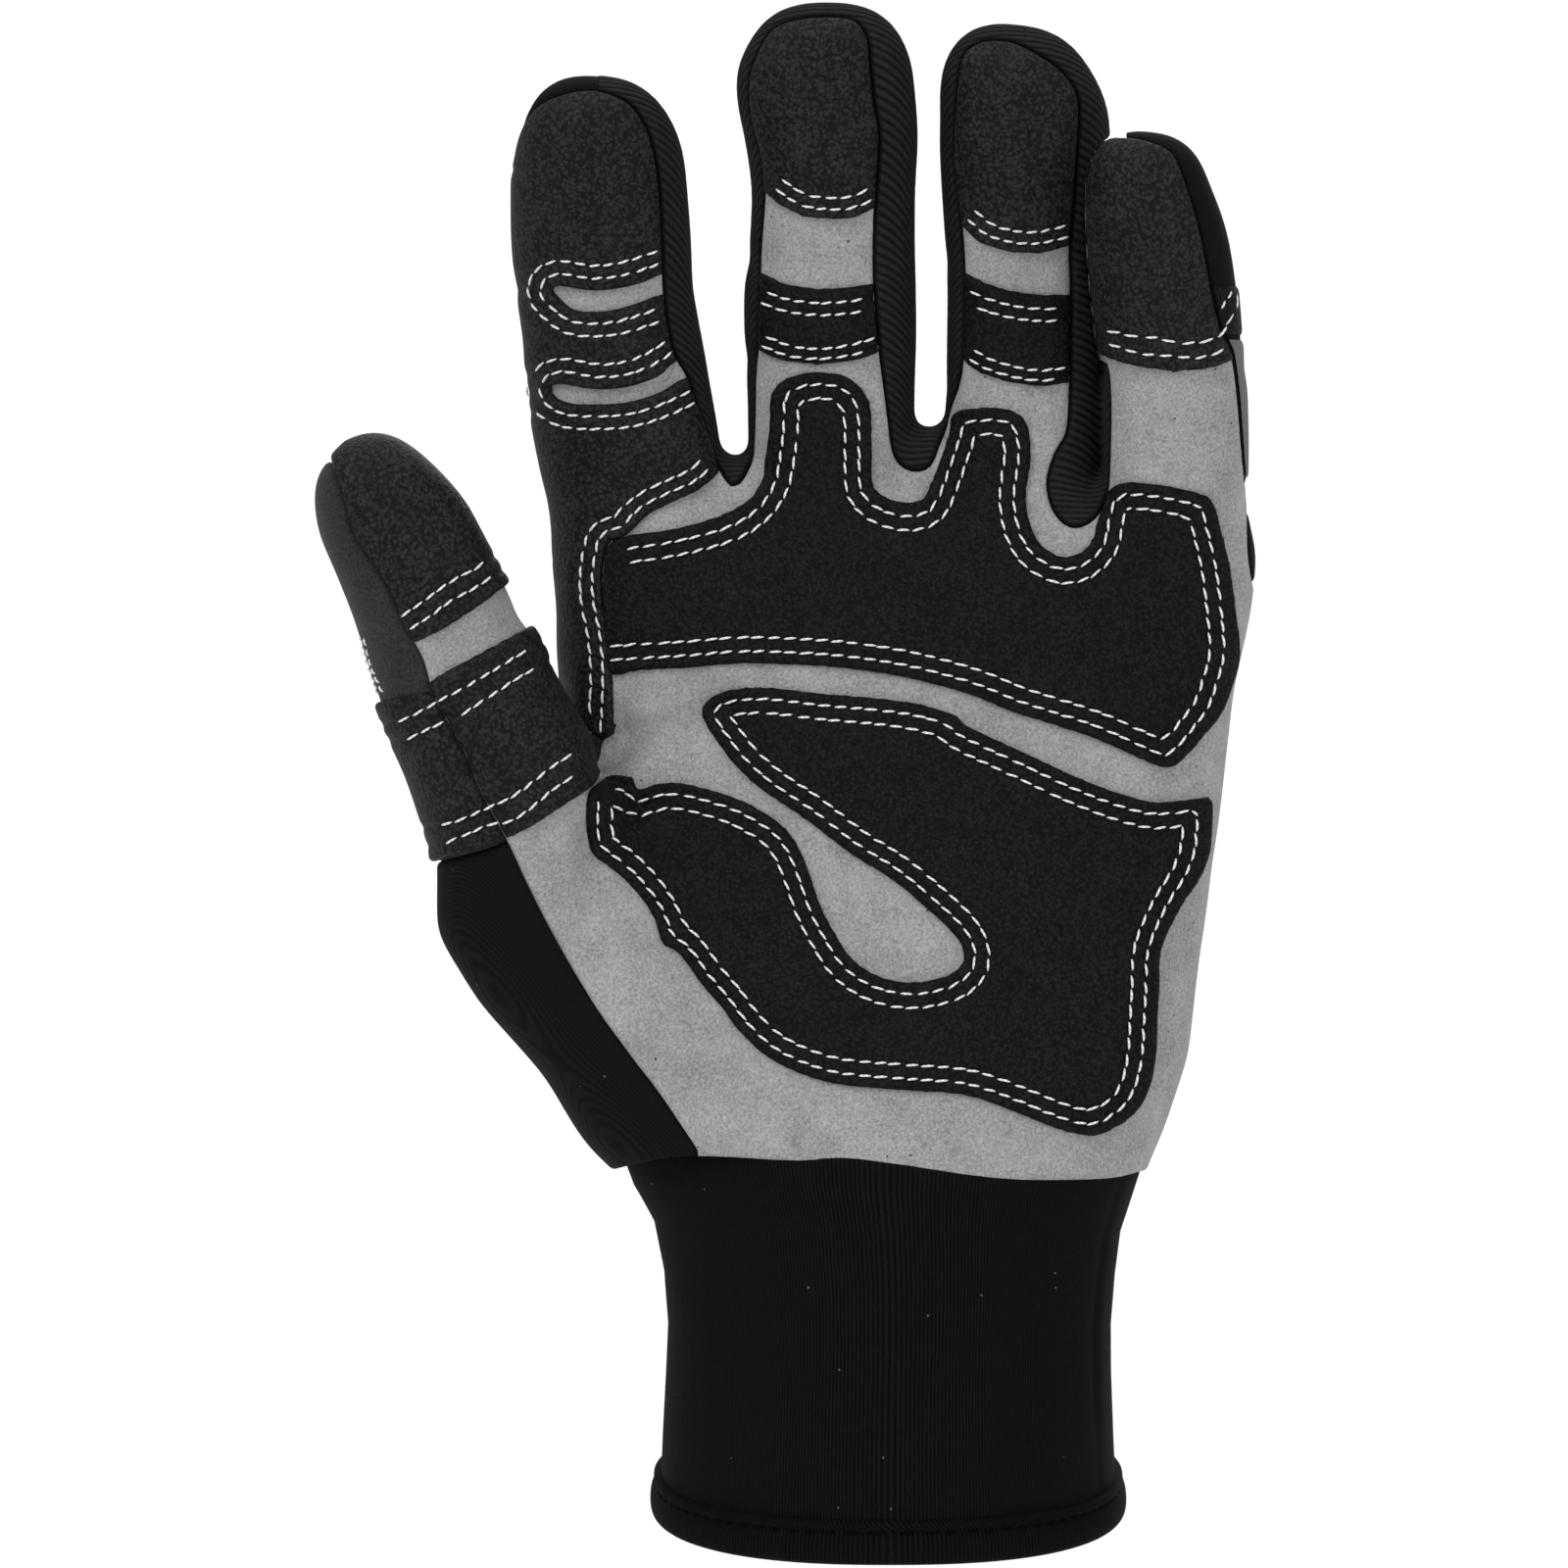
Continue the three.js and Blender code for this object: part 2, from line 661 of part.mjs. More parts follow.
const seamPath = smooth(wholeFingerSeam(), false, 55);
const thumbSeamPath = smooth(thumbSeam.map(handPoint), false, 14);

// Everything past the finger seam: the fourchettes' side of it.
function pastFingerSeam(offset) {
  const path = moved(seamPath, offset);
  const top = new THREE.Vector2(path.at(-1).x, farAway);
  return cutThrough([...path, top, new THREE.Vector2(path[0].x, farAway)]);
}

// Everything outside the thumb's seam.
function pastThumbSeam(offset) {
  const path = moved(thumbSeamPath, -offset);
  const corner = (point) => new THREE.Vector2(-palmWidth * 2, point.y);
  return cutThrough([...path, corner(path.at(-1)), corner(path[0])]);
}

// Panels

const halfGap = seamGap / 2;
const aboveCuff = block(-farAway, farAway, cuffSeamZ, farAway);
const shell = handSolid(0).subtract(handSolid(-panelThickness)).intersect(aboveCuff);
const front = frontSpace(-halfGap);
const frontAndSeam = frontSpace(halfGap);

// Where the strips between the fingers meet: the middle of a fingertip.
const tipMiddle = (name) => fingerSection(fingers[name], 0.95).centre.x;

// The knit strip up the side of one finger, through the parting and up the next finger.
function fourchette(first, second) {
  const strip = block(tipMiddle(first) + halfGap, tipMiddle(second) - halfGap, cuffSeamZ, farAway);
  return shell.intersect(front).intersect(pastFingerSeam(halfGap)).intersect(strip);
}

// The thumb's side of the view, above the foot of its back band, moved outwards by an offset.
function thumbZone(offset) {
  const foot = thumbBackBandFoot.map(handPoint).map((p) => new THREE.Vector2(p.x, p.y + offset));
  const web = thumbWeb.map(handPoint).map((p) => new THREE.Vector2(p.x - offset, p.y + offset));
  const outer = (point) => new THREE.Vector2(-farAway, point.y);
  return cutThrough([outer(foot.at(-1)), ...foot.reverse(), ...web, outer(web.at(-1))]);
}

const solids = {};
solids.palm_panel = shell
  .intersect(front)
  .subtract(pastFingerSeam(-halfGap))
  .subtract(pastThumbSeam(-halfGap));
const fingerNames = Object.keys(fingers);
for (const [i, name] of fingerNames.slice(1).entries()) {
  solids[`fourchette_${fingerNames[i]}_${name}`] = fourchette(fingerNames[i], name);
}

const palmSide = frontAndSeam.subtract(pastFingerSeam(-halfGap)).subtract(pastThumbSeam(halfGap));
const fourchetteSide = frontAndSeam
  .intersect(pastFingerSeam(-halfGap))
  .intersect(block(tipMiddle("index"), tipMiddle("little"), cuffSeamZ, farAway));
const backShell = shell.subtract(palmSide).subtract(fourchetteSide);
solids.thumb_back_panel = backShell.intersect(thumbZone(halfGap));
solids.back_panel = backShell.subtract(thumbZone(-halfGap));

// Patches

// A layer of cloth lying on the hand's form, and what of it a palm patch may cover.
const layer = handSolid(seamGap + patchThickness).subtract(handSolid(seamGap));
const palmField = layer
  .intersect(front)
  .subtract(pastFingerSeam(-seamGap))
  .subtract(pastThumbSeam(seamGap));
const outlined = (rows, count) => cutThrough(smooth(rows.map(handPoint), true, count).reverse());
const pathThrough = (rows, count) => smooth(rows.map(handPoint), false, count);

// A patch's cut edge across a finger, running past both panel edges.
function edgeLine(finger, shares, sag) {
  const count = 6;
  const line = Array.from({ length: count + 1 }, (_, i) => {
    const t = i / count;
    const share = THREE.MathUtils.lerp(shares[0], shares[1], t) - sag * Math.sin(Math.PI * t);
    return panelEdge(finger, "left", share).lerp(panelEdge(finger, "right", share), t);
  });
  const out = finger.width * 0.2;
  const [first, last] = [line[0], line.at(-1)];
  return [new THREE.Vector2(first.x - out, first.y), ...line, new THREE.Vector2(last.x + out, last.y)];
}

// A cap from its cut edge to the fingertip, or a band between two cut edges.
function fingerPatch({ finger: name, from, to, sag }) {
  const finger = fingers[name];
  const foot = edgeLine(finger, from, sag);
  const [left, right] = [foot[0].x, foot.at(-1).x];
  const cap = [new THREE.Vector2(right, farAway), new THREE.Vector2(left, farAway)];
  return cutThrough([...foot, ...(to ? edgeLine(finger, to, sag).reverse() : cap)]);
}

// The index finger's patch, its foot moved outwards by an offset.
function indexPatchSpace(offset) {
  const foot = moved(pathThrough(indexPatchFoot, 12), offset);
  const right = [0.42, 0.55, 0.7, 0.85].map((share) => panelEdge(fingers.index, "right", share));
  const widened = right.map((p) => new THREE.Vector2(p.x + palmWidth * 0.03, p.y));
  const left = foot.at(-1).x - palmWidth * 0.1;
  return cutThrough([
    ...foot.reverse(),
    ...widened,
    new THREE.Vector2(widened.at(-1).x, farAway),
    new THREE.Vector2(left, farAway),
    new THREE.Vector2(left, foot[0].y + palmLength * 0.3),
  ]);
}

// A slot across the index patch, open at the panel's right edge.
function indexSlot({ at, half, reach, lift }) {
  const edge = (share, across) => {
    const { centre, halfWidth } = fingerSection(fingers.index, share);
    return new THREE.Vector2(centre.x + across * halfWidth, centre.z);
  };
  const upper = [edge(at + half + lift, 0.95), edge(at + half, 0), edge(at + half, reach + 0.1)];
  const lower = [edge(at - half, reach + 0.1), edge(at - half, 0), edge(at - half + lift, 0.95)];
  return cutThrough(smooth([...upper, edge(at, reach), ...lower], false, 8).reverse());
}

for (const row of fingerPatches) {
  const { width } = fingers[row.finger];
  const middle = fingerSection(fingers[row.finger], 0.6).centre.x;
  const ownFinger = block(middle - 0.6 * width, middle + 0.6 * width, cuffSeamZ, farAway);
  solids[row.name] = palmField.intersect(fingerPatch(row)).intersect(ownFinger);
}
const middleBand = fingerPatches.find((row) => row.name === "patch_middle_band");
const bandAndGap = middleBand.from.map((share) => share - (3 * seamGap) / fingers.middle.length);
solids.patch_upper_palm = palmField
  .intersect(outlined(upperPatchOutline, 34))
  .subtract(indexPatchSpace(seamGap))
  .subtract(fingerPatch({ ...middleBand, from: bandAndGap }));
solids.patch_lower_palm = palmField.intersect(outlined(lowerPatchOutline, 36));
solids.patch_index = palmField.intersect(indexPatchSpace(0)).subtract(joined(indexSlots.map(indexSlot)));
solids.patch_thumb_tip = palmField.intersect(
  cutThrough([...thumbTipPatchEdge, ...thumbTipOutside].map(handPoint)),
);
solids.patch_thumb_saddle = palmField.intersect(
  cutThrough([
    ...pathThrough(thumbSaddleTop, 12),
    ...pathThrough(thumbSaddleFoot, 10),
    ...thumbSaddleOutside.map(handPoint),
  ].reverse()),
);
solids.patch_thumb_back_band = layer
  .intersect(pastThumbSeam(seamGap))
  .intersect(cutThrough([...thumbBackBandTop, ...thumbBackBandFoot].map(handPoint).reverse()));

// The strip and the tab on the little finger's outer side, which the palm's view shows edge on.
const outerSide = ({ from, to }) =>
  block(tipMiddle("little"), palmWidth, cuffSeamZ + from * palmLength, cuffSeamZ + to * palmLength);
const sideLayer = layer.intersect(frontSpace(sideStripDepth));
solids.little_side_strip = sideLayer.subtract(frontAndSeam).intersect(outerSide(sideStripUp));
solids.little_side_tab = sideLayer.intersect(pastFingerSeam(seamGap)).intersect(outerSide(sideTabUp));

// Cuff and binding

const bindingTop = bindingHeight / cuffLength;
solids.cuff = cuffSolid(0, 1 - seamGap / cuffLength, 0).subtract(cuffSolid(-0.02, 1.02, -cuffThickness));
solids.cuff_binding = cuffSolid(0, bindingTop, seamGap + bindingThickness).subtract(
  cuffSolid(-0.06, bindingTop + 0.05, seamGap),
);

// Materials, as the photograph shows the pieces

const cloth = (color, roughness) => new THREE.MeshStandardMaterial({ color, roughness, metalness: 0 });
const greySuede = cloth("#9b9a98", 0.95);
const darkSuede = cloth("#323232", 0.95);
const blackGrip = cloth("#232324", 0.8);
const stretchKnit = cloth("#151516", 0.9);
const ribbedKnit = cloth("#19191a", 0.92);
const cuffKnit = cloth("#131314", 0.8);
const ribbedBinding = cloth("#101011", 0.85);
const greyTrim = cloth("#5f5f5f", 0.9);

function materialOf(name) {
  if (name.startsWith("patch") || name === "little_side_tab") return blackGrip;
  if (name.startsWith("fourchette")) return ribbedKnit;
  const named = { palm_panel: greySuede, thumb_back_panel: darkSuede, cuff: cuffKnit,
    cuff_binding: ribbedBinding, little_side_strip: greyTrim };
  return named[name] ?? stretchKnit;
}

const glove = new THREE.Group();
for (const [name, solid] of Object.entries(solids)) {
  const mesh = new THREE.Mesh(geometryOf(mainBody(solid)), materialOf(name));
  mesh.name = name;
  glove.add(mesh);
}

export default glove;
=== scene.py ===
# Left-hand mechanic glove, seen on its palm side. Lengths below are millimetres, and each mesh is made
# in metres in the CAD's own frame.
import math

import bpy
import numpy as np
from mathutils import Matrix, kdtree


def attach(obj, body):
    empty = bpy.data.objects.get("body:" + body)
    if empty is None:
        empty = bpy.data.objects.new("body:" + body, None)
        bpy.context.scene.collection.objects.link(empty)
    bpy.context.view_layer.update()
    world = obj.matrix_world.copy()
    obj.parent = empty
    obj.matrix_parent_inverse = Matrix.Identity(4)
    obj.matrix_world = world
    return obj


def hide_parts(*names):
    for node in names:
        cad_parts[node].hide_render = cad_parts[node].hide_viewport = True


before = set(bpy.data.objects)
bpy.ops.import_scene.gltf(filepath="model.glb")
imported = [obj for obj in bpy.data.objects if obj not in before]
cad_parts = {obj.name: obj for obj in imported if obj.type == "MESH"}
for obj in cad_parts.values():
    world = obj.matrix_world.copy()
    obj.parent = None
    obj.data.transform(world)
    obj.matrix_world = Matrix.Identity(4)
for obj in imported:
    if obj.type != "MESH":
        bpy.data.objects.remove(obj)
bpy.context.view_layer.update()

# The view that the outlines were read in: the camera's distance, the middle of the picture, the width of
# one of its 1600 pixels at y = 0, and the pixel where x and z are 0.
view = {"distance": 2000.0, "across": -16.7, "up": 113.0, "pixel": 0.155, "zeroAcross": 908, "zeroUp": 1530}


# Points as the camera sees them, moved to the plane y = 0 along their lines of sight.
def seen(points):
    near = view["distance"] / (view["distance"] + points[:, 1])
    return np.column_stack([view["across"] + (points[:, 0] - view["across"]) * near,
                            view["up"] + (points[:, 2] - view["up"]) * near])


# The other way round: the point at a given y that the camera sees at a place in that plane.
def placed(flat, depth):
    near = (view["distance"] + depth) / view["distance"]
    return np.column_stack([view["across"] + (flat[:, 0] - view["across"]) * near, depth,
                            view["up"] + (flat[:, 1] - view["up"]) * near])


# Places in the view from pixels written as x, y, x, y and so on.
def traced(*pixels):
    places = np.array(pixels, float).reshape(-1, 2)
    return (places - [view["zeroAcross"], view["zeroUp"]]) * [view["pixel"], -view["pixel"]]


# A smooth curve through points (each stretch a cubic that leaves a point along the line between its
# neighbours), read again at even steps. A closed one ends on its first point.
def curveThrough(points, closed=False, step=0.8):
    p = np.asarray(points, float)
    ring = np.vstack([p[-1:], p, p[:2]] if closed else [2 * p[:1] - p[1:2], p, 2 * p[-1:] - p[-2:-1]])
    t = np.linspace(0, 1, 10, endpoint=False)[:, None]
    bends = [0.5 * (2 * b + (c - a) * t + (2 * a - 5 * b + 4 * c - d) * t**2 + (3 * b - a - 3 * c + d) * t**3)
             for a, b, c, d in zip(ring[:-3], ring[1:-2], ring[2:-1], ring[3:])]
    line = np.vstack(bends + [p[:1] if closed else p[-1:]])
    return evenly(line, step)


# The length of a line up to each of its points.
def lengthsAlong(line):
    return np.r_[0, np.cumsum(np.linalg.norm(np.diff(line, axis=0), axis=1))]


# A line read again at even steps along its length.
def evenly(line, step):
    along = lengthsAlong(line)
    places = np.linspace(0, along[-1], max(3, round(along[-1] / step)) + 1)
    return np.column_stack([np.interp(places, along, column) for column in line.T])


# Distance to a closed outline in the view, below zero inside it.
def outlineDistance(flat, outline):
    a, b = outline[:-1], outline[1:]
    ab = b - a
    level = np.empty(len(flat))
    for start in range(0, len(flat), 4000):
        p = flat[start:start + 4000, None]
        share = np.clip(((p - a) * ab).sum(-1) / np.maximum((ab**2).sum(-1), 1e-9), 0, 1)
        gap = p - (a + share[..., None] * ab)
        crosses = (a[:, 1] > p[..., 1]) != (b[:, 1] > p[..., 1])
        slope = (b[:, 0] - a[:, 0]) / np.where(ab[:, 1] == 0, 1e-9, ab[:, 1])
        crosses &= p[..., 0] < slope * (p[..., 1] - a[:, 1]) + a[:, 0]
        side = np.where(crosses.sum(1) % 2 == 1, -1, 1)
        level[start:start + 4000] = np.sqrt((gap**2).sum(-1).min(1)) * side
    return level


# The same distance worked out once on a fine grid round the outline, with its growth both ways.
def mapOutline(outline, step=0.5, room=6.0, low=(-92, 44), high=(62, 240)):
    low = np.maximum(outline.min(0) - room, low)
    high = np.minimum(outline.max(0) + room, high)
    axes = [np.arange(a, b + step, step) for a, b in zip(low, high)]
    grid = np.stack(np.meshgrid(*axes, indexing="ij"), -1)
    level = outlineDistance(grid.reshape(-1, 2), outline).reshape(grid.shape[:2])
    return {"low": low, "step": step, "layers": [level, *np.gradient(level, step)]}


# A map read at any places: the distance, and the direction in which it grows.
def outlineLevel(flat, outlineMap):
    place = (flat - outlineMap["low"]) / outlineMap["step"]
    shape = np.array(outlineMap["layers"][0].shape)
    place = np.clip(place, 0, shape - 1.001)
    cell = place.astype(int)
    (i, j), (s, t) = cell.T, (place - cell).T
    read = [a[i, j] * (1 - s) * (1 - t) + a[i + 1, j] * s * (1 - t)
            + a[i, j + 1] * (1 - s) * t + a[i + 1, j + 1] * s * t for a in outlineMap["layers"]]
    way = np.column_stack(read[1:])
    return read[0], way / np.maximum(np.hypot(*way.T), 1e-6)[:, None]


# The hand inside the glove. Each digit lies along a straight lean, and its rows are read along it.
# width rows: height, middle across, half the width. depth rows: height, middle y, half the depth.
# dome: where the rounded end starts and how far it reaches. tilt: how much lower its right side is.
# root: the same as dome for the end inside the palm. The thumb's rows are turned into its lean.
digits = {
    "thumb": {"foot": (-20.8, 51.2), "lean": (-0.46, 0.888), "root": (2, 26), "dome": (117.5, 13.2),
              "width": [
                  (51.2, -20.8, 11.0), (62.8, -32.7, 13.7), (74.4, -39.7, 14.0), (86, -49.7, 15.7),
                  (97.7, -55.7, 17.2), (109.3, -57.8, 14.7), (120.9, -62.9, 13.4), (128.7, -66.8, 13.2),
                  (136.4, -70.4, 12.2), (144.2, -73.6, 11.4), (151.9, -77.1, 11.0), (155.8, -79.8, 10.2),
                  (161, -82.6, 9.3)],
              "depth": [
                  (51, -7.8, 15.6), (70.5, -11.8, 16.1), (86, -16.4, 15.6), (101.5, -20.9, 14.3),
                  (115.8, -24.7, 13.3), (130.3, -27.8, 12.6), (144.2, -30.1, 11.7), (155.8, -31.2, 10.5),
                  (163, -31.8, 9.4)]},
    "index": {"dome": (208.7, 14.8), "tilt": 0.08,
              "width": [
                  (100, -38, 11), (118, -38.4, 11.4), (140, -38.1, 11.1), (150, -38.5, 11.7),
                  (159.7, -39.7, 13.7), (167.4, -41, 14), (175.2, -42.3, 14), (182.9, -43.1, 13.4),
                  (190.7, -44.5, 13.3), (198.4, -44.9, 13.5), (206.2, -45.2, 13.2), (214, -45.4, 12.7),
                  (220, -45.6, 12.2)],
              "depth": [
                  (100, -7.3, 12.4), (124, -7.3, 12.4), (157, -8.2, 12.3), (175, -10.9, 11.8),
                  (189.4, -14.1, 11.2), (206, -19.6, 10.6), (214, -22.9, 9.6), (220, -25.3, 8.6)]},
    "middle": {"dome": (222.8, 12),
               "width": [
                   (100, -9, 12.5), (160, -9.2, 12.9), (175.2, -9.3, 13), (182.9, -9.4, 13.4),
                   (190.7, -9.5, 13.4), (198.4, -9.1, 12.8), (206.2, -8.9, 12.6), (213.9, -9.2, 13.4),
                   (217.8, -9.8, 13.8), (221.7, -10.3, 13.9), (225.5, -10.3, 13.5), (229.4, -10, 12.6)],
               "depth": [
                   (100, -7.3, 12.2), (124, -7.3, 12.2), (161.8, -8.4, 12), (185, -11.2, 11.5),
                   (199.4, -14, 11), (218, -20.3, 10.5), (228, -24.3, 9.6), (235, -27, 8.6)]},
    "ring": {"dome": (216.7, 15), "tilt": 0.12,
             "width": [
                 (100, 18, 12), (160, 21, 12.8), (175, 22.2, 13.2), (183, 22.3, 13.2), (190.7, 22.2, 13.0),
                 (198.4, 21.7, 12.9), (206.2, 21.3, 13.1), (213.9, 21.1, 13.3), (217.8, 21.1, 13.1),
                 (221.7, 20.7, 12.9), (225.5, 20.1, 12.5)],
             "depth": [
                 (100, -7.3, 12), (124, -7.3, 12), (160.4, -7.3, 11.8), (182, -8.9, 11.2),
                 (196.8, -11.1, 10.8), (214, -15.2, 10.3), (224, -18.2, 9.5), (231, -20, 8.4)]},
    "little": {"dome": (202.4, 12), "tilt": 0.12,
               "width": [
                   (100, 41, 9), (128, 43.3, 9.5), (140, 44.4, 10.5), (159.7, 44.7, 11.1),
                   (167, 44.7, 11.1), (175, 44.4, 11.1), (183, 43.9, 10.7), (190.7, 43, 10.9),
                   (198.4, 42, 10.6), (202.3, 41.2, 10.1), (206.2, 40.4, 9.3)],
               "depth": [
                   (100, -7.3, 10.8), (124, -8, 10.8), (148.2, -11.4, 10.6), (168, -17.3, 10.2),
                   (182.7, -22.8, 9.8), (200, -29.6, 9.2), (210, -33, 8.2)]},
    "webIndex": {"root": (130, 25), "dome": (157, 7.5), "width": [(130, -24.6, 8), (160, -24.6, 7)],
                 "depth": [(130, -9, 11), (160, -9, 8.5)]},
    "webMiddle": {"root": (130, 25), "dome": (161, 8), "width": [(130, 6.4, 8), (160, 6.6, 7)],
                  "depth": [(130, -9, 11), (160, -9, 8.5)]},
    "webRing": {"root": (130, 25), "dome": (151, 8), "width": [(120, 33.5, 7.5), (155, 33.5, 6.5)],
                "depth": [(120, -8, 10.5), (155, -11, 8)]},
}
# The palm: height, left edge, right edge, half the depth. Its middle lies at one y.
palm = {"middle": -7.26, "dome": (146, 14),
        "rows": [
            (40, -35.5, 38, 25), (51.3, -37.8, 39.9, 24.9), (58.9, -43.4, 43.2, 24.2),
            (70.5, -47, 46.1, 22.8), (86, -49.5, 45.0, 21.3), (101.5, -49.8, 46.3, 20.2),
            (117, -49.6, 48.0, 19.3), (128.7, -48.7, 49.8, 18.6), (140.3, -48.5, 54.1, 17.4),
            (150, -48.9, 55.3, 15.8)]}
fullness = {"sides": 2.35, "palmSides": 2.5, "tips": 2.5, "thumbJoin": (12.0, 3.0), "palmJoin": 6.0,
            "fingerJoin": 1.6, "webJoin": 3.0}

# Soft dents pressed into the cloth: from, to (pixels), how deep, how wide.
dents = [
    ((640, 757), (742, 716), 1.1, 2.6), ((628, 728), (705, 700), 0.8, 2.4),
    ((612, 792), (642, 748), 1.6, 2.4), ((606, 935), (600, 850), 1.5, 2.2),
    ((655, 826), (606, 776), 0.9, 2.6), ((745, 735), (700, 770), 0.7, 3.0),
    ((622, 760), (560, 690), 0.8, 3.2), ((690, 795), (668, 757), 0.5, 3.0),
    ((560, 900), (590, 1010), 0.5, 4.0), ((880, 690), (1190, 800), 0.5, 5.0),
    ((640, 520), (735, 500), 0.4, 3.0), ((776, 366), (900, 368), 0.5, 2.4),
    ((776, 268), (893, 268), 0.4, 2.6), ((983, 266), (1094, 268), 0.4, 2.4),
    ((984, 398), (1092, 398), 0.45, 2.6), ((1127, 385), (1255, 378), 0.4, 2.4),
    ((422, 690), (545, 620), 0.45, 2.6), ((545, 290), (680, 290), 0.35, 2.4),
    ((550, 400), (700, 400), 0.4, 2.6), ((880, 960), (960, 900), 1.2, 22),
    ((1240, 620), (1180, 640), 0.5, 4.0), ((450, 640), (500, 610), -0.3, 5.0),
    ((560, 1000), (700, 1080), -0.6, 16), ((1150, 1000), (1190, 850), -0.5, 14)]


# Rows read at even heights with a smooth curve and a bell-shaped blur, so no row shows as a crease.
def readRows(rows, step=0.5, blur=2.2):
    table = np.array(sorted(rows), float)
    table = np.vstack([table[0] - (table[1] - table[0]) * [20, 0, 0] - [20, 0, 0], table,
                       table[-1] + [25, 0, 0]]) if table.shape[1] == 3 else table
    heights = np.arange(table[0, 0], table[-1, 0], step)
    reach = int(3 * blur / step)
    bell = np.exp(-0.5 * (np.arange(-reach, reach + 1) * step / blur) ** 2)
    bell /= bell.sum()
    columns = [np.convolve(np.pad(np.interp(heights, table[:, 0], c), reach, "edge"), bell, "valid")
               for c in table[:, 1:].T]
    return heights, columns


# How far a place lies along a digit's lean and across it.
def byLean(x, z, digit):
    (footX, footZ), (leanX, leanZ) = digit["foot"], digit["lean"]
    return (x - footX) * leanX + (z - footZ) * leanZ, (x - footX) * leanZ - (z - footZ) * leanX


for name, digit in digits.items():
    digits[name] = digit = {"foot": (0, 0), "lean": (0, 1), "root": (128, 45), "tilt": 0, **digit}
    along = [(*byLean(x, z, digit), half) for z, x, half in digit["width"]]
    digit["widthRead"] = readRows(along)
    toAlong = np.array(sorted((z, s) for (z, _, _), (s, _, _) in zip(digit["width"], along)))
    digit["depthRead"] = readRows([(np.interp(z, *toAlong.T) if name == "thumb" else z, y, half)
                                   for z, y, half in digit["depth"]])
palmRead = readRows(palm["rows"])


# A rounded body's level: the section is u^n + v^n, the dome's share of the way to the tip is joined in
# the same manner, and 1 is taken off and scaled to millimetres.
def roundedLevel(u, v, dome, wide, deep, n):
    m = fullness["tips"]
    return (((u**n + v**n) ** (m / n) + dome**m) ** (1 / m) - 1) * np.minimum(wide, deep)


# A digit's level: u and v are the distances from its middle as shares of half its width and depth.
def digitLevel(p, digit):
    along, across = byLean(p[:, 0], p[:, 2], digit)
    heights, (middle, halfWidth) = digit["widthRead"]
    depthHeights, (middleY, halfDepth) = digit["depthRead"]
    wide, deep = np.interp(along, heights, halfWidth), np.interp(along, depthHeights, halfDepth)
    u = np.abs(across - np.interp(along, heights, middle)) / wide
    v = np.abs(p[:, 1] - np.interp(along, depthHeights, middleY)) / deep
    (start, reach), (root, fade) = digit["dome"], digit["root"]
    tilted = along + digit["tilt"] * (across - np.interp(along, heights, middle))
    dome = np.maximum(tilted - start, 0) / reach + np.maximum(root - along, 0) / fade
    return roundedLevel(u, v, dome, wide, deep, fullness["sides"])


def palmLevelAt(p):
    heights, (left, right, halfDepth) = palmRead
    low, high, deep = (np.interp(p[:, 2], heights, c) for c in (left, right, halfDepth))
    wide = (high - low) / 2
    u, v = np.abs(p[:, 0] - (low + high) / 2) / wide, np.abs(p[:, 1] - palm["middle"]) / deep
    dome = np.maximum(p[:, 2] - palm["dome"][0], 0) / palm["dome"][1]
    return roundedLevel(u, v, dome, wide, deep, fullness["palmSides"])


# The smaller of two levels, rounded where they are less than a reach apart.
def joinLevels(a, b, reach):
    near = np.maximum(reach - np.abs(a - b), 0) / reach
    return np.minimum(a, b) - near**2 * reach / 4


# Dents: a bell across the distance to a short line, faded on the glove's back.
def dentsAt(p):
    flat = seen(p)
    total = np.zeros(len(p))
    for start, end, deep, wide in dents:
        a, b = traced(*start, *end)
        share = np.clip(((flat - a) @ (b - a)) / ((b - a) @ (b - a)), 0, 1)
        gap = np.hypot(*(flat - a - share[:, None] * (b - a)).T)
        total += deep * np.exp(-((gap / wide) ** 2))
    return total * np.clip((palm["middle"] + 4 - p[:, 1]) / 8, 0, 1)


# The hand's level at each point: below zero inside, zero on the cloth, about a millimetre per millimetre.
def levelAt(p, withDents=True):
    levels = {name: digitLevel(p, digit) for name, digit in digits.items()}
    fingers = levels["index"]
    for name in ("middle", "ring", "little"):
        fingers = joinLevels(fingers, levels[name], fullness["fingerJoin"])
    for name in ("webIndex", "webMiddle", "webRing"):
        fingers = joinLevels(fingers, levels[name], fullness["webJoin"])
    hand = joinLevels(palmLevelAt(p), levels["thumb"], np.interp(p[:, 2], (92, 122), fullness["thumbJoin"]))
    total = joinLevels(hand, fingers, fullness["palmJoin"])
    return total + dentsAt(p) if withDents else total


# The level's growth along x, y and z, from small steps both ways.
def slopeAt(p, step=0.25):
    return np.column_stack([(levelAt(p + by) - levelAt(p - by)) / (2 * step) for by in np.eye(3) * step])


def outward(p):
    slope = slopeAt(p)
    return slope / np.maximum(np.linalg.norm(slope, axis=1, keepdims=True), 1e-6)


# Points moved along the slope until their level is zero, at most a millimetre each round.
def ontoSurface(p, rounds=2):
    for _ in range(rounds):
        slope = slopeAt(p)
        move = levelAt(p)[:, None] * slope / np.maximum((slope**2).sum(1, keepdims=True), 0.05)
        p = p - np.clip(move, -1.0, 1.0)
    return p


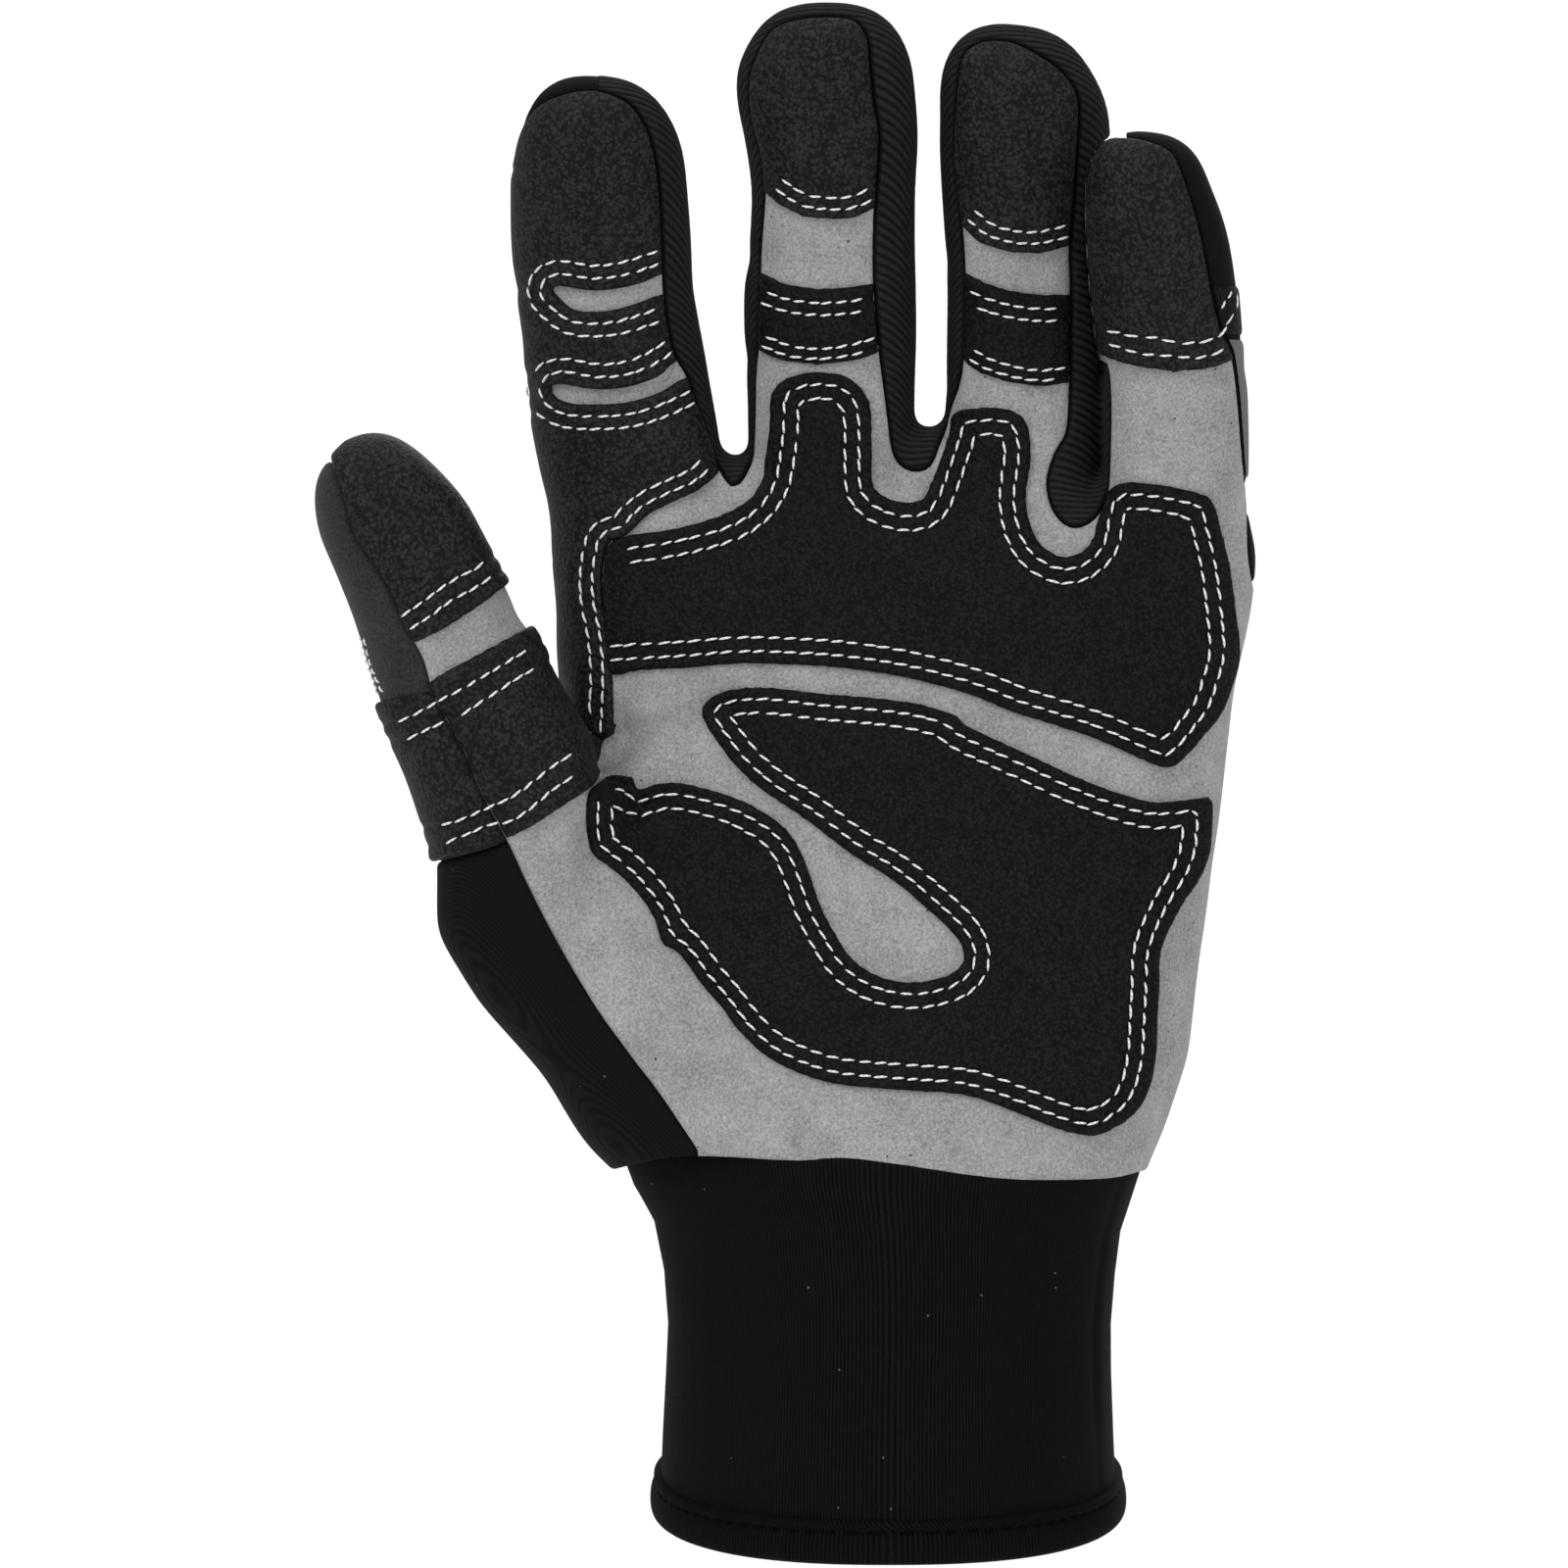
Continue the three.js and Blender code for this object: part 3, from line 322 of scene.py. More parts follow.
# A net over the level's zero surface: a point in each grid cell that it passes, at the mean of where it
# crosses the cell's edges, and a face round each grid edge that it crosses.
def netOver(low, high, step):
    axes = [np.arange(a, b + step, step) for a, b in zip(low, high)]
    shape = tuple(len(a) for a in axes)
    level = np.empty(shape, np.float32)
    for i, x in enumerate(axes[0]):
        y, z = np.meshgrid(axes[1], axes[2], indexing="ij")
        places = np.column_stack([np.full(y.size, x), y.ravel(), z.ravel()])
        level[i] = levelAt(places, withDents=False).reshape(y.shape)
    inside = level < 0
    cells = tuple(n - 1 for n in shape)
    total, count = np.zeros(cells + (3,)), np.zeros(cells)

    def corner(i, j, k):
        return level[i:i + cells[0], j:j + cells[1], k:k + cells[2]]

    for axis in range(3):
        others = [a for a in range(3) if a != axis]
        for s in (0, 1):
            for t in (0, 1):
                start = [0, 0, 0]
                start[others[0]], start[others[1]] = s, t
                end = list(start)
                end[axis] = 1
                la, lb = corner(*start), corner(*end)
                crossed = (la < 0) != (lb < 0)
                share = np.where(crossed, la / np.where(la == lb, 1, la - lb), 0)
                count += crossed
                for a in range(3):
                    total[..., a] += crossed * (share if a == axis else start[a])
    used = count > 0
    index = np.full(cells, -1)
    index[used] = np.arange(used.sum())
    points = np.argwhere(used) + total[used] / count[used][:, None]
    points = points * step + [a[0] for a in axes]

    # The cells beside grid edges, back along the axes by the given steps.
    def cellsBack(spots, steps):
        return index[tuple((spots - steps).T)]

    faces = []
    for axis in range(3):
        b, c = (axis + 1) % 3, (axis + 2) % 3
        one, two = [slice(None)] * 3, [slice(None)] * 3
        one[axis], two[axis] = slice(0, -1), slice(1, None)
        flips = inside[tuple(one)] != inside[tuple(two)]
        spots = np.argwhere(flips)
        spots = spots[(spots[:, b] > 0) & (spots[:, c] > 0)
                      & (spots[:, b] < shape[b] - 1) & (spots[:, c] < shape[c] - 1)]
        backB, backC = np.eye(3, dtype=int)[[b, c]]
        quad = np.column_stack([cellsBack(spots, steps) for steps in (backB + backC, backC, 0, backB)])
        goesIn = ~inside[tuple(spots.T)]
        quad[goesIn] = quad[goesIn][:, ::-1]
        faces.append(quad)
    quads = np.vstack(faces)
    shorter = (np.linalg.norm(points[quads[:, 0]] - points[quads[:, 2]], axis=1)
               < np.linalg.norm(points[quads[:, 1]] - points[quads[:, 3]], axis=1))
    a, b, c, d = quads.T
    first = np.where(shorter[:, None], np.column_stack([a, b, c]), np.column_stack([a, b, d]))
    second = np.where(shorter[:, None], np.column_stack([a, c, d]), np.column_stack([b, c, d]))
    return points, np.vstack([first, second])


def sidesOf(faces):
    return np.vstack([faces[:, [0, 1]], faces[:, [1, 2]], faces[:, [2, 0]]])


# The sides that only one face has.
def openSides(faces):
    sides = sidesOf(faces)
    _, first, times = np.unique(np.sort(sides, axis=1), axis=0, return_index=True, return_counts=True)
    return sides[first[times == 1]]


# Each point is moved halfway to the mean of its neighbours, then back onto the surface.
def evenedOut(points, faces, rounds=3):
    ends = sidesOf(faces)
    ends = np.vstack([ends, ends[:, ::-1]])
    count = np.maximum(np.bincount(ends[:, 0], minlength=len(points)), 1)
    for _ in range(rounds):
        mean = np.column_stack([np.bincount(ends[:, 0], c, len(points)) for c in points[ends[:, 1]].T])
        points = ontoSurface(points + 0.5 * (mean / count[:, None] - points), 1)
    return points


# The mesh cut along the line where a level is zero: every triangle that the line crosses becomes three,
# with new points where its edges cross it. Both sides are kept.
def cutAlong(points, faces, level):
    level = np.where(np.abs(level) < 1e-3, -1e-3, level)
    above = level[faces] > 0
    crossed = (above.sum(1) == 1) | (above.sum(1) == 2)
    cut, signs = faces[crossed], above[crossed]
    lone = np.where(signs.sum(1) == 1, signs.argmax(1), (~signs).argmax(1))
    rows = np.arange(len(cut))
    a, b, c = (cut[rows, (lone + k) % 3] for k in range(3))
    pairs = np.sort(np.vstack([np.column_stack([a, b]), np.column_stack([a, c])]), axis=1)
    unique, inverse = np.unique(pairs, axis=0, return_inverse=True)
    inverse = inverse.ravel()
    la, lb = level[unique[:, 0]], level[unique[:, 1]]
    share = (la / (la - lb))[:, None]
    added = points[unique[:, 0]] * (1 - share) + points[unique[:, 1]] * share
    ab, ac = len(points) + inverse[:len(cut)], len(points) + inverse[len(cut):]
    made = [np.column_stack(f) for f in ((a, ab, ac), (ab, b, c), (ab, c, ac))]
    return np.vstack([points, added]), np.vstack([faces[~crossed]] + made)


def onlyFaces(points, faces, keep):
    used, inverse = np.unique(faces[keep], return_inverse=True)
    return points[used], inverse.reshape(-1, 3)


# Every triangle split into four at the middles of its edges.
def finer(points, faces):
    unique, inverse = np.unique(np.sort(sidesOf(faces), axis=1), axis=0, return_inverse=True)
    ab, bc, ca = inverse.ravel().reshape(3, -1) + len(points)
    a, b, c = faces.T
    made = [np.column_stack(f) for f in ((a, ab, ca), (ab, b, bc), (ca, bc, c), (ab, bc, ca))]
    return np.vstack([points, points[unique].mean(1)]), np.vstack(made)


# A closed slab: the outer points, the inner ones with their faces turned round, and a rim between them.
def slab(outer, inner, faces):
    count = len(outer)
    a, b = openSides(faces).T
    rim = np.vstack([np.column_stack([b, a, a + count]), np.column_stack([b, a + count, b + count])])
    return np.vstack([outer, inner]), np.vstack([faces, faces[:, ::-1] + count, rim])


def smoothStep(t):
    t = np.clip(t, 0, 1)
    return t * t * (3 - 2 * t)


# How far an edge turns in: a quarter round whose depth is reached at the edge itself.
def turnIn(fromEdge, reach, deep):
    t = 1 - np.clip(fromEdge / reach, 0, 1)
    return deep * (1 - np.sqrt(np.maximum(1 - t * t, 0)))


print("stage: hand form")
basePoints, baseFaces = netOver((-96, -47, 46), (64, 21, 242), step=1.15)
basePoints = evenedOut(ontoSurface(basePoints, 2), baseFaces)

# The finger seam with the palm panel below it, read in the view. Past the outer sides of the hand it runs
# off into the open, because there the panel ends at the back seam.
panelOutline = np.vstack([
    curveThrough(traced(
        711, 1176, 674, 1120, 642, 1078, 604, 1024, 566, 957, 537, 900, 516, 857, 490, 809, 471, 764,
        449, 726, 439, 704, 430, 672, 411, 640, 398, 608, 379, 576, 360, 548, 349, 509, 338, 477, 336, 452,
        344, 430)),
    traced(350, 400, 470, 400, 560, 560, 535, 400, 480, 220, 505, 190),
    curveThrough(traced(
        524, 168, 533, 135, 548, 110, 572, 97, 606, 92, 640, 104, 660, 130, 670, 165, 675, 210, 679, 300,
        686, 350, 694, 370, 703, 385, 715, 420, 728, 460, 740, 488, 749, 496, 760, 485, 768, 458, 770, 384,
        773, 340, 775, 259, 779, 198, 776, 160, 768, 128, 764, 99, 766, 73, 777, 46, 790, 29, 813, 20,
        844, 17, 873, 21, 886, 40, 889, 69, 893, 107, 898, 138, 896, 184, 893, 230, 893, 290, 898, 351,
        904, 397, 908, 427, 912, 458, 919, 474, 933, 481, 950, 475, 960, 450, 970, 415, 979, 385, 983, 340,
        983, 277, 980, 231, 976, 190, 973, 153, 975, 107, 981, 61, 998, 44, 1019, 41, 1036, 44, 1059, 55,
        1084, 73, 1101, 101, 1100, 153, 1096, 214, 1093, 252, 1094, 301, 1093, 350, 1093, 392, 1090, 440,
        1077, 464, 1069, 490, 1072, 512, 1081, 529, 1094, 538, 1109, 535, 1122, 522, 1130, 495, 1132, 450,
        1132, 400, 1130, 376, 1121, 360, 1118, 331, 1113, 291, 1110, 245, 1110, 190, 1117, 162, 1127, 147,
        1142, 141, 1166, 143, 1188, 150, 1201, 162, 1212, 190, 1223, 226, 1231, 263, 1238, 300, 1247, 337,
        1258, 360, 1264, 400, 1268, 450, 1273, 520, 1277, 580, 1290, 640)),
    traced(1330, 700, 1330, 1230, 1166, 1230, 711, 1230), traced(711, 1176)])
cuffSeam = curveThrough(traced(
    560, 1212, 640, 1188, 711, 1177, 830, 1182, 906, 1190, 983, 1197, 1059, 1200, 1136, 1199, 1170, 1192,
    1230, 1180))
cuffSeamLap = 0.8  # the panels reach this far below the seam line that shows, and the cuff as far above
thumbZone = curveThrough(traced(
    300, 905, 441, 881, 518, 860, 570, 830, 608, 760, 578, 695, 560, 640, 545, 560, 480, 430, 400, 380,
    300, 420), closed=True)
panelMap, zoneMap = mapOutline(panelOutline), mapOutline(thumbZone, 1.0)
seamDepth = {"thumb": 3.0, "index": 4.4, "middle": 4.2, "ring": 4.0, "little": 3.4}  # behind a digit's middle


# How much of a direction in the view lies along the surface, so that a distance in the view can be
# turned into one over the cloth.
def alongSurface(way, normals):
    facing = way[:, 0] * normals[:, 0] + way[:, 1] * normals[:, 2]
    return np.sqrt(np.clip(1 - facing**2, 0.12, 1))


# The back seam lies a little behind the middle of each digit, and between digits it follows the nearer
# one: their depths are averaged with shares that fade with the distance from each.
def backSeamLevel(p, normals):
    total, shares = np.zeros(len(p)), np.zeros(len(p))
    for name, behind in seamDepth.items():
        digit = digits[name]
        along, _ = byLean(p[:, 0], p[:, 2], digit)
        heights, (middleY, _) = digit["depthRead"]
        share = np.exp(-np.clip(digitLevel(p, digit), -2, 40) / 1.6)
        total += share * (np.interp(along, heights, middleY) + behind)
        shares += share
    return (p[:, 1] - total / shares) / np.sqrt(np.clip(1 - normals[:, 1] ** 2, 0.12, 1))


def seamLevels(p):
    normals = outward(p)
    flat = seen(p)
    seam, way = outlineLevel(flat, panelMap)
    zone, _ = outlineLevel(flat, zoneMap)
    foot = np.interp(flat[:, 0], *cuffSeam.T) - cuffSeamLap - flat[:, 1]
    return {"seam": seam / alongSurface(way, normals), "back": backSeamLevel(p, normals), "zone": zone,
            "foot": foot, "normals": normals, "flat": flat}


tipMiddles = {"index": -45.6, "middle": -9.9, "ring": 20.9, "little": 36.6}
strips = [("fourchette_index_middle", "index", "middle"), ("fourchette_middle_ring", "middle", "ring"),
          ("fourchette_ring_little", "ring", "little")]

print("stage: panels")
points, faces = basePoints, baseFaces
for key in ("foot", "seam", "back", "zone"):
    points, faces = cutAlong(points, faces, seamLevels(points)[key])
for place in tipMiddles.values():
    points, faces = cutAlong(points, faces, points[:, 0] - place)
middles = seamLevels(points[faces].mean(1))
keep = middles["foot"] < 0
points, faces = onlyFaces(points, faces, keep)
middles = {key: value[keep] for key, value in middles.items()}
across, _, height = points[faces].mean(1).T
inPalm = (middles["seam"] < 0) & (middles["back"] < 0)
inThumb = ~inPalm & (middles["zone"] < 0)
inStrip = [~inPalm & ~inThumb & (middles["back"] < 0) & (middles["seam"] > 0) & (height > 135)
           & (across > tipMiddles[a]) & (across < tipMiddles[b]) for _, a, b in strips]
inBack = ~inPalm & ~inThumb & ~np.any(inStrip, axis=0)


# The straight distance from each point to the nearest of some dots.
def nearestOf(dots, points):
    tree = kdtree.KDTree(len(dots))
    for i, dot in enumerate(dots.tolist()):
        tree.insert(dot, i)
    tree.balance()
    return np.array([tree.find(p)[2] for p in points.tolist()])


# Distance from a piece's own edge, up to a reach: in a straight line, which is close enough that near.
def fromRim(points, faces, reach=6.0, leftOut=None):
    a, b = points[openSides(faces)].transpose(1, 0, 2)
    dots = np.vstack([a, (a * 3 + b) / 4, (a + b) / 2, (a + 3 * b) / 4])
    dots = dots[~leftOut(dots)] if leftOut else dots
    return np.minimum(nearestOf(dots, points), reach)


# The largest loose part of a mesh: labels spread along the edges until none changes.
def largestPart(points, faces):
    label = np.arange(len(points))
    while True:
        low = label[faces].min(1)
        fresh = label.copy()
        for k in range(3):
            np.minimum.at(fresh, faces[:, k], low)
        fresh = fresh[fresh]
        if (fresh == label).all():
            break
        label = fresh
    names, counts = np.unique(label[faces[:, 0]], return_counts=True)
    return onlyFaces(points, faces, label[faces[:, 0]] == names[counts.argmax()])


def newMaterial(name, roughness):
    material = bpy.data.materials.new(name)
    material.use_nodes = True
    tree = material.node_tree
    shader = tree.nodes["Principled BSDF"]
    shader.inputs["Roughness"].default_value = roughness
    return material, tree, shader


# A finish starts here with its gloss, and finished() gives it its colour and its bump.
def newFinish(name, roughness, sheen=0.0, specular=0.3):
    material, tree, shader = newMaterial(name, roughness)
    shader.inputs["Specular IOR Level"].default_value = specular
    shader.inputs["Sheen Weight"].default_value = sheen
    shader.inputs["Sheen Roughness"].default_value = 0.5
    return material, tree, shader


# A node with its inputs set, either to a value or by a link from another node's output.
def node(tree, kind, inputs=(), **settings):
    made = tree.nodes.new(kind)
    for key, value in settings.items():
        setattr(made, key, value)
    for key, value in dict(inputs).items():
        if isinstance(value, bpy.types.NodeSocket):
            tree.links.new(value, made.inputs[key])
        else:
            made.inputs[key].default_value = value
    return made


def ramp(tree, fac, stops):
    made = node(tree, "ShaderNodeValToRGB", {"Fac": fac})
    while len(made.color_ramp.elements) < len(stops):
        made.color_ramp.elements.new(0.5)
    for element, (place, shade) in zip(made.color_ramp.elements, stops):
        element.position = place
        element.color = (*shade, 1)
    return made.outputs["Color"]


def maths(tree, how, a, b=0.0):
    return node(tree, "ShaderNodeMath", {0: a, 1: b}, operation=how).outputs[0]


# The sum of two values, each times its own share.
def mixed(tree, a, shareA, b, shareB):
    return maths(tree, "ADD", maths(tree, "MULTIPLY", a, shareA), maths(tree, "MULTIPLY", b, shareB))


def between(dark, light):
    return tuple((a + b) / 2 for a, b in zip(dark, light))


def finished(material, colour, height, strength, distance):
    tree = material.node_tree
    shader = tree.nodes["Principled BSDF"]
    tree.links.new(colour, shader.inputs["Base Color"])
    bump = node(tree, "ShaderNodeBump", {"Height": height, "Strength": strength, "Distance": distance})
    tree.links.new(bump.outputs["Normal"], shader.inputs["Normal"])
    return material


def grain(tree, scale, detail=2.0, rough=0.6, coords=None):
    inputs = {"Scale": scale, "Detail": detail, "Roughness": rough}
    inputs["Vector"] = coords or node(tree, "ShaderNodeTexCoord").outputs["Object"]
    return node(tree, "ShaderNodeTexNoise", inputs).outputs["Fac"]


# A grey as red, green and blue, the blue given by itself where it differs.
def grey(tone, blue=None):
    return tone, tone, tone if blue is None else blue


# Small spots of another tone on a colour: near the middle of a chosen share of scattered cells.
def specksOver(tree, colour, shade, cell, radius, share):
    spots = node(tree, "ShaderNodeTexVoronoi", {
        "Vector": node(tree, "ShaderNodeTexCoord").outputs["Object"], "Scale": 1 / cell})
    pick = node(tree, "ShaderNodeSeparateColor", {"Color": spots.outputs["Color"]}).outputs[0]
    spot = maths(tree, "MULTIPLY", maths(tree, "GREATER_THAN", pick, 1 - share),
                 maths(tree, "LESS_THAN", spots.outputs["Distance"], radius))
    return node(tree, "ShaderNodeMix", {0: spot, 6: colour, 7: (*shade, 1)}, data_type="RGBA").outputs[2]


# Suede: short nap, so the tone is mottled at two sizes and the bump is a fine fuzz.
def suedeFinish(name, dark, light, speck):
    material, tree, _ = newFinish(name, 0.95, sheen=0.06, specular=0.06)
    height = mixed(tree, grain(tree, 2400, 3, 0.75), 0.75, grain(tree, 150, 4, 0.6), 0.25)
    colour = ramp(tree, height, [(0.34, dark), (0.5, between(dark, light)), (0.66, light)])
    return finished(material, specksOver(tree, colour, speck, 0.003, 0.07, 0.3), height, 0.5, 0.0005)


# Grip cloth: pebbles of half a millimetre with gaps between them. The pebbles' places are bent by a noise, so
# that they have no even net. Their colour follows their height, so the gaps carry painted shade and the tops
# a painted highlight. shine is how much light their tops give back.
def gripFinish(name, dark, light, pebble, shine, relief):
    material, tree, _ = newFinish(name, 0.6, specular=shine)
    coords = node(tree, "ShaderNodeTexCoord").outputs["Object"]
    bend = node(tree, "ShaderNodeTexNoise", {"Vector": coords, "Scale": 900.0, "Detail": 1.0})
    spread = node(tree, "ShaderNodeVectorMath", {0: bend.outputs["Color"], 1: grey(0.0008), 2: coords},
                  operation="MULTIPLY_ADD")
    cells = node(tree, "ShaderNodeTexVoronoi", {"Vector": spread.outputs[0], "Scale": 1 / pebble,
                                                "Smoothness": 0.5}, feature="SMOOTH_F1")
    tops = maths(tree, "SUBTRACT", 1.0, cells.outputs["Distance"])
    height = mixed(tree, tops, 0.7, grain(tree, 2600, 2, 0.7, coords), 0.5)
    tone = mixed(tree, height, 0.75, grain(tree, 260, 3, 0.6, coords), 0.25)
    # Painted shade and highlight: the ramp darkens the gaps between pebbles and lightens their tops.
    colour = ramp(tree, tone, [(0.5, dark), (0.64, between(dark, light)), (0.78, light)])
    return finished(material, colour, height, relief, 0.0004)


# Knit: fine wales as a wave across the cloth, broken by yarn grain.
def knitFinish(name, dark, light, pitch, direction="X", strength=0.5, lint=0.0, useMap=False):
    material, tree, _ = newFinish(name, 0.85, specular=0.05)
    source = node(tree, "ShaderNodeTexCoord").outputs["UV" if useMap else "Object"]
    wave = node(tree, "ShaderNodeTexWave", {"Vector": source, "Scale": 1 / pitch / 3.183, "Distortion": 0.6,
                                            "Detail": 2.0, "Detail Scale": 1.5}, bands_direction=direction)
    height = mixed(tree, wave.outputs["Fac"], 0.6, grain(tree, 3000, 2, 0.7), 0.6)
    colour = ramp(tree, height, [(0.25, dark), (0.85, light)])
    if lint:
        colour = specksOver(tree, colour, grey(0.09), 0.004, 0.04, lint)
    return finished(material, colour, height, strength, 0.0003)


# Rib knit: the map's first value is 0 in the gaps and 1 on the ribs, and the colour follows it: painted
# shade in the gaps and a painted sheen on the rib tops.
def ribFinish(name, dark, light):
    material, tree, _ = newFinish(name, 0.8, specular=0.08)
    coords = node(tree, "ShaderNodeTexCoord").outputs["UV"]
    across = node(tree, "ShaderNodeSeparateXYZ", {0: coords}).outputs[0]
    height = mixed(tree, across, 0.75, grain(tree, 2600, 2, 0.7), 0.4)
    return finished(material, ramp(tree, height, [(0.3, dark), (0.95, light)]), height, 0.4, 0.0003)


# Thread: two plies twisted round each other, as slanted bands along the stitch.
def threadFinish(name, dark, light, shine):
    material, tree, _ = newFinish(name, 0.6, specular=shine)
    wave = node(tree, "ShaderNodeTexWave", {"Vector": node(tree, "ShaderNodeTexCoord").outputs["UV"],
                                            "Scale": 1.0, "Distortion": 0.4}, bands_direction="DIAGONAL")
    bands = wave.outputs["Fac"]
    return finished(material, ramp(tree, bands, [(0.1, dark), (0.7, light)]), bands, 0.4, 0.0001)


finishes = {
    "greySuede": suedeFinish("grey suede", (0.12, 0.119, 0.116), (0.315, 0.313, 0.305), (0.04, 0.038, 0.036)),
    "darkSuede": suedeFinish("dark suede", grey(0.0065), grey(0.031, 0.032), grey(0.05)),
    "palmGrip": gripFinish("black palm grip", grey(0.0026), grey(0.0100, 0.0102), 0.0006, 0.05, 0.8),
    "tipGrip": gripFinish("black fingertip grip", grey(0.0034), grey(0.0205, 0.021), 0.00065, 0.08, 1.0),
    "stretchKnit": knitFinish("stretch knit", grey(0.0018), grey(0.0048), 0.00028, "DIAGONAL", 0.4, 0.3),
    "ribbedKnit": ribFinish("ribbed knit", grey(0.0008), grey(0.0125, 0.0128)),
    "cuffKnit": knitFinish("cuff knit", grey(0.0004), grey(0.0040), 0.0005, "X", 0.5, 0.6, True),
    "binding": knitFinish("ribbed binding", grey(0.0002), grey(0.0034), 0.00057, "X", 1.0, 0, True),
    "greyTrim": knitFinish("grey trim", grey(0.07, 0.072), grey(0.13, 0.135), 0.0003, "DIAGONAL", 0.2),
    "thread": threadFinish("white thread", grey(0.36, 0.35), grey(0.72, 0.70), 0.3),
    "darkThread": threadFinish("dark thread", grey(0.0005), grey(0.002), 0.02),
}


def linked(name, data):
    made = bpy.data.objects.new(name, data)
    bpy.context.scene.collection.objects.link(made)
    return made


# A Blender object from arrays: faces all have the same number of corners. It rides on the one body, and
# it may stand for a CAD node, whose own part is then hidden. The slot is not used.
def newPiece(name, points, faces, finish, cadNode=None, slot=None, flatMap=None):
    mesh = bpy.data.meshes.new(name)
    mesh.vertices.add(len(points))
    mesh.vertices.foreach_set("co", (np.asarray(points) / 1000).astype(np.float32).ravel())
    mesh.loops.add(faces.size)
    mesh.loops.foreach_set("vertex_index", faces.astype(np.int32).ravel())
    mesh.polygons.add(len(faces))
    mesh.polygons.foreach_set("loop_start", np.arange(0, faces.size, faces.shape[1], dtype=np.int32))
    if flatMap is not None:
        layer = mesh.uv_layers.new(name="UVMap")
        layer.data.foreach_set("uv", np.asarray(flatMap)[faces.ravel()].astype(np.float32).ravel())
    mesh.update(calc_edges=True)
    mesh.validate()
    mesh.shade_smooth()
    mesh.materials.append(finishes[finish])
    piece = linked(name, mesh)
    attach(piece, "root")
    if cadNode:
        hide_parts(cadNode)


# Over a fingertip the knit runs on from strip to strip or strip to back, so those edges aren't turned in.
def overTip(dots):
    fromMiddle = np.min([np.abs(dots[:, 0] - place) for place in tipMiddles.values()], axis=0)
    return (fromMiddle < 0.05) & (dots[:, 2] > 185)


# A panel: its part of the cut mesh with its edges turned into the seam, and an inner face below it.
seamTurn = {"reach": 1.15, "deep": 0.85, "rows": (0.2, 0.5, 0.95), "thick": 1.3}


def panelMesh(points, faces):
    points, faces = largestPart(points, faces)
    for row in seamTurn["rows"]:
        points, faces = cutAlong(points, faces, fromRim(points, faces, leftOut=overTip) - row)
    edge = fromRim(points, faces, leftOut=overTip)
    normals = outward(points)
    turn = turnIn(edge, seamTurn["reach"], seamTurn["deep"])
    outer = points - normals * turn[:, None]
    inner = points - normals * np.maximum(seamTurn["thick"], turn + 0.35)[:, None]
    return slab(outer, inner, faces)


for name, keep, finish, slot in (("palm_panel", inPalm, "greySuede", "grey_suede"),
                                 ("thumb_back_panel", inThumb, "darkSuede", "dark_suede"),
                                 ("back_panel", inBack, "stretchKnit", "stretch_knit")):
    newPiece(name + "_cloth", *panelMesh(*onlyFaces(points, faces, keep)), finish, name, slot)

# Rib knit up the finger sides: rounded ribs with narrow gaps, slanting down towards the back.
ribs = {"pitch": 1.25, "high": 0.36, "slant": 0.75}
for (name, _, _), keep in zip(strips, inStrip):
    strip, own = largestPart(*onlyFaces(points, faces, keep))
    strip, own = finer(*finer(strip, own))
    strip = ontoSurface(strip, 1)
    edge = fromRim(strip, own, leftOut=overTip)
    normals = outward(strip)
    phase = (strip[:, 2] + ribs["slant"] * strip[:, 1]) / ribs["pitch"]
    rib = np.abs(np.sin(np.pi * phase)) ** 0.8 - 0.55
    turn = turnIn(edge, seamTurn["reach"], seamTurn["deep"])
    outer = strip + normals * (ribs["high"] * rib * smoothStep(edge / 0.8) - turn)[:, None]
    inner = strip - normals * 1.4
    # Painted light: the first map value is the rib height, for a painted sheen on the tops and painted shade
    # in the gaps, fading to painted shade at the turned-in edges.
    tone = np.column_stack([(rib + 0.55) * smoothStep(edge / 0.8), edge / 6])
    newPiece(name + "_cloth", *slab(outer, inner, own), "ribbedKnit", name, "ribbed_knit",
             np.vstack([tone, tone * 0]))

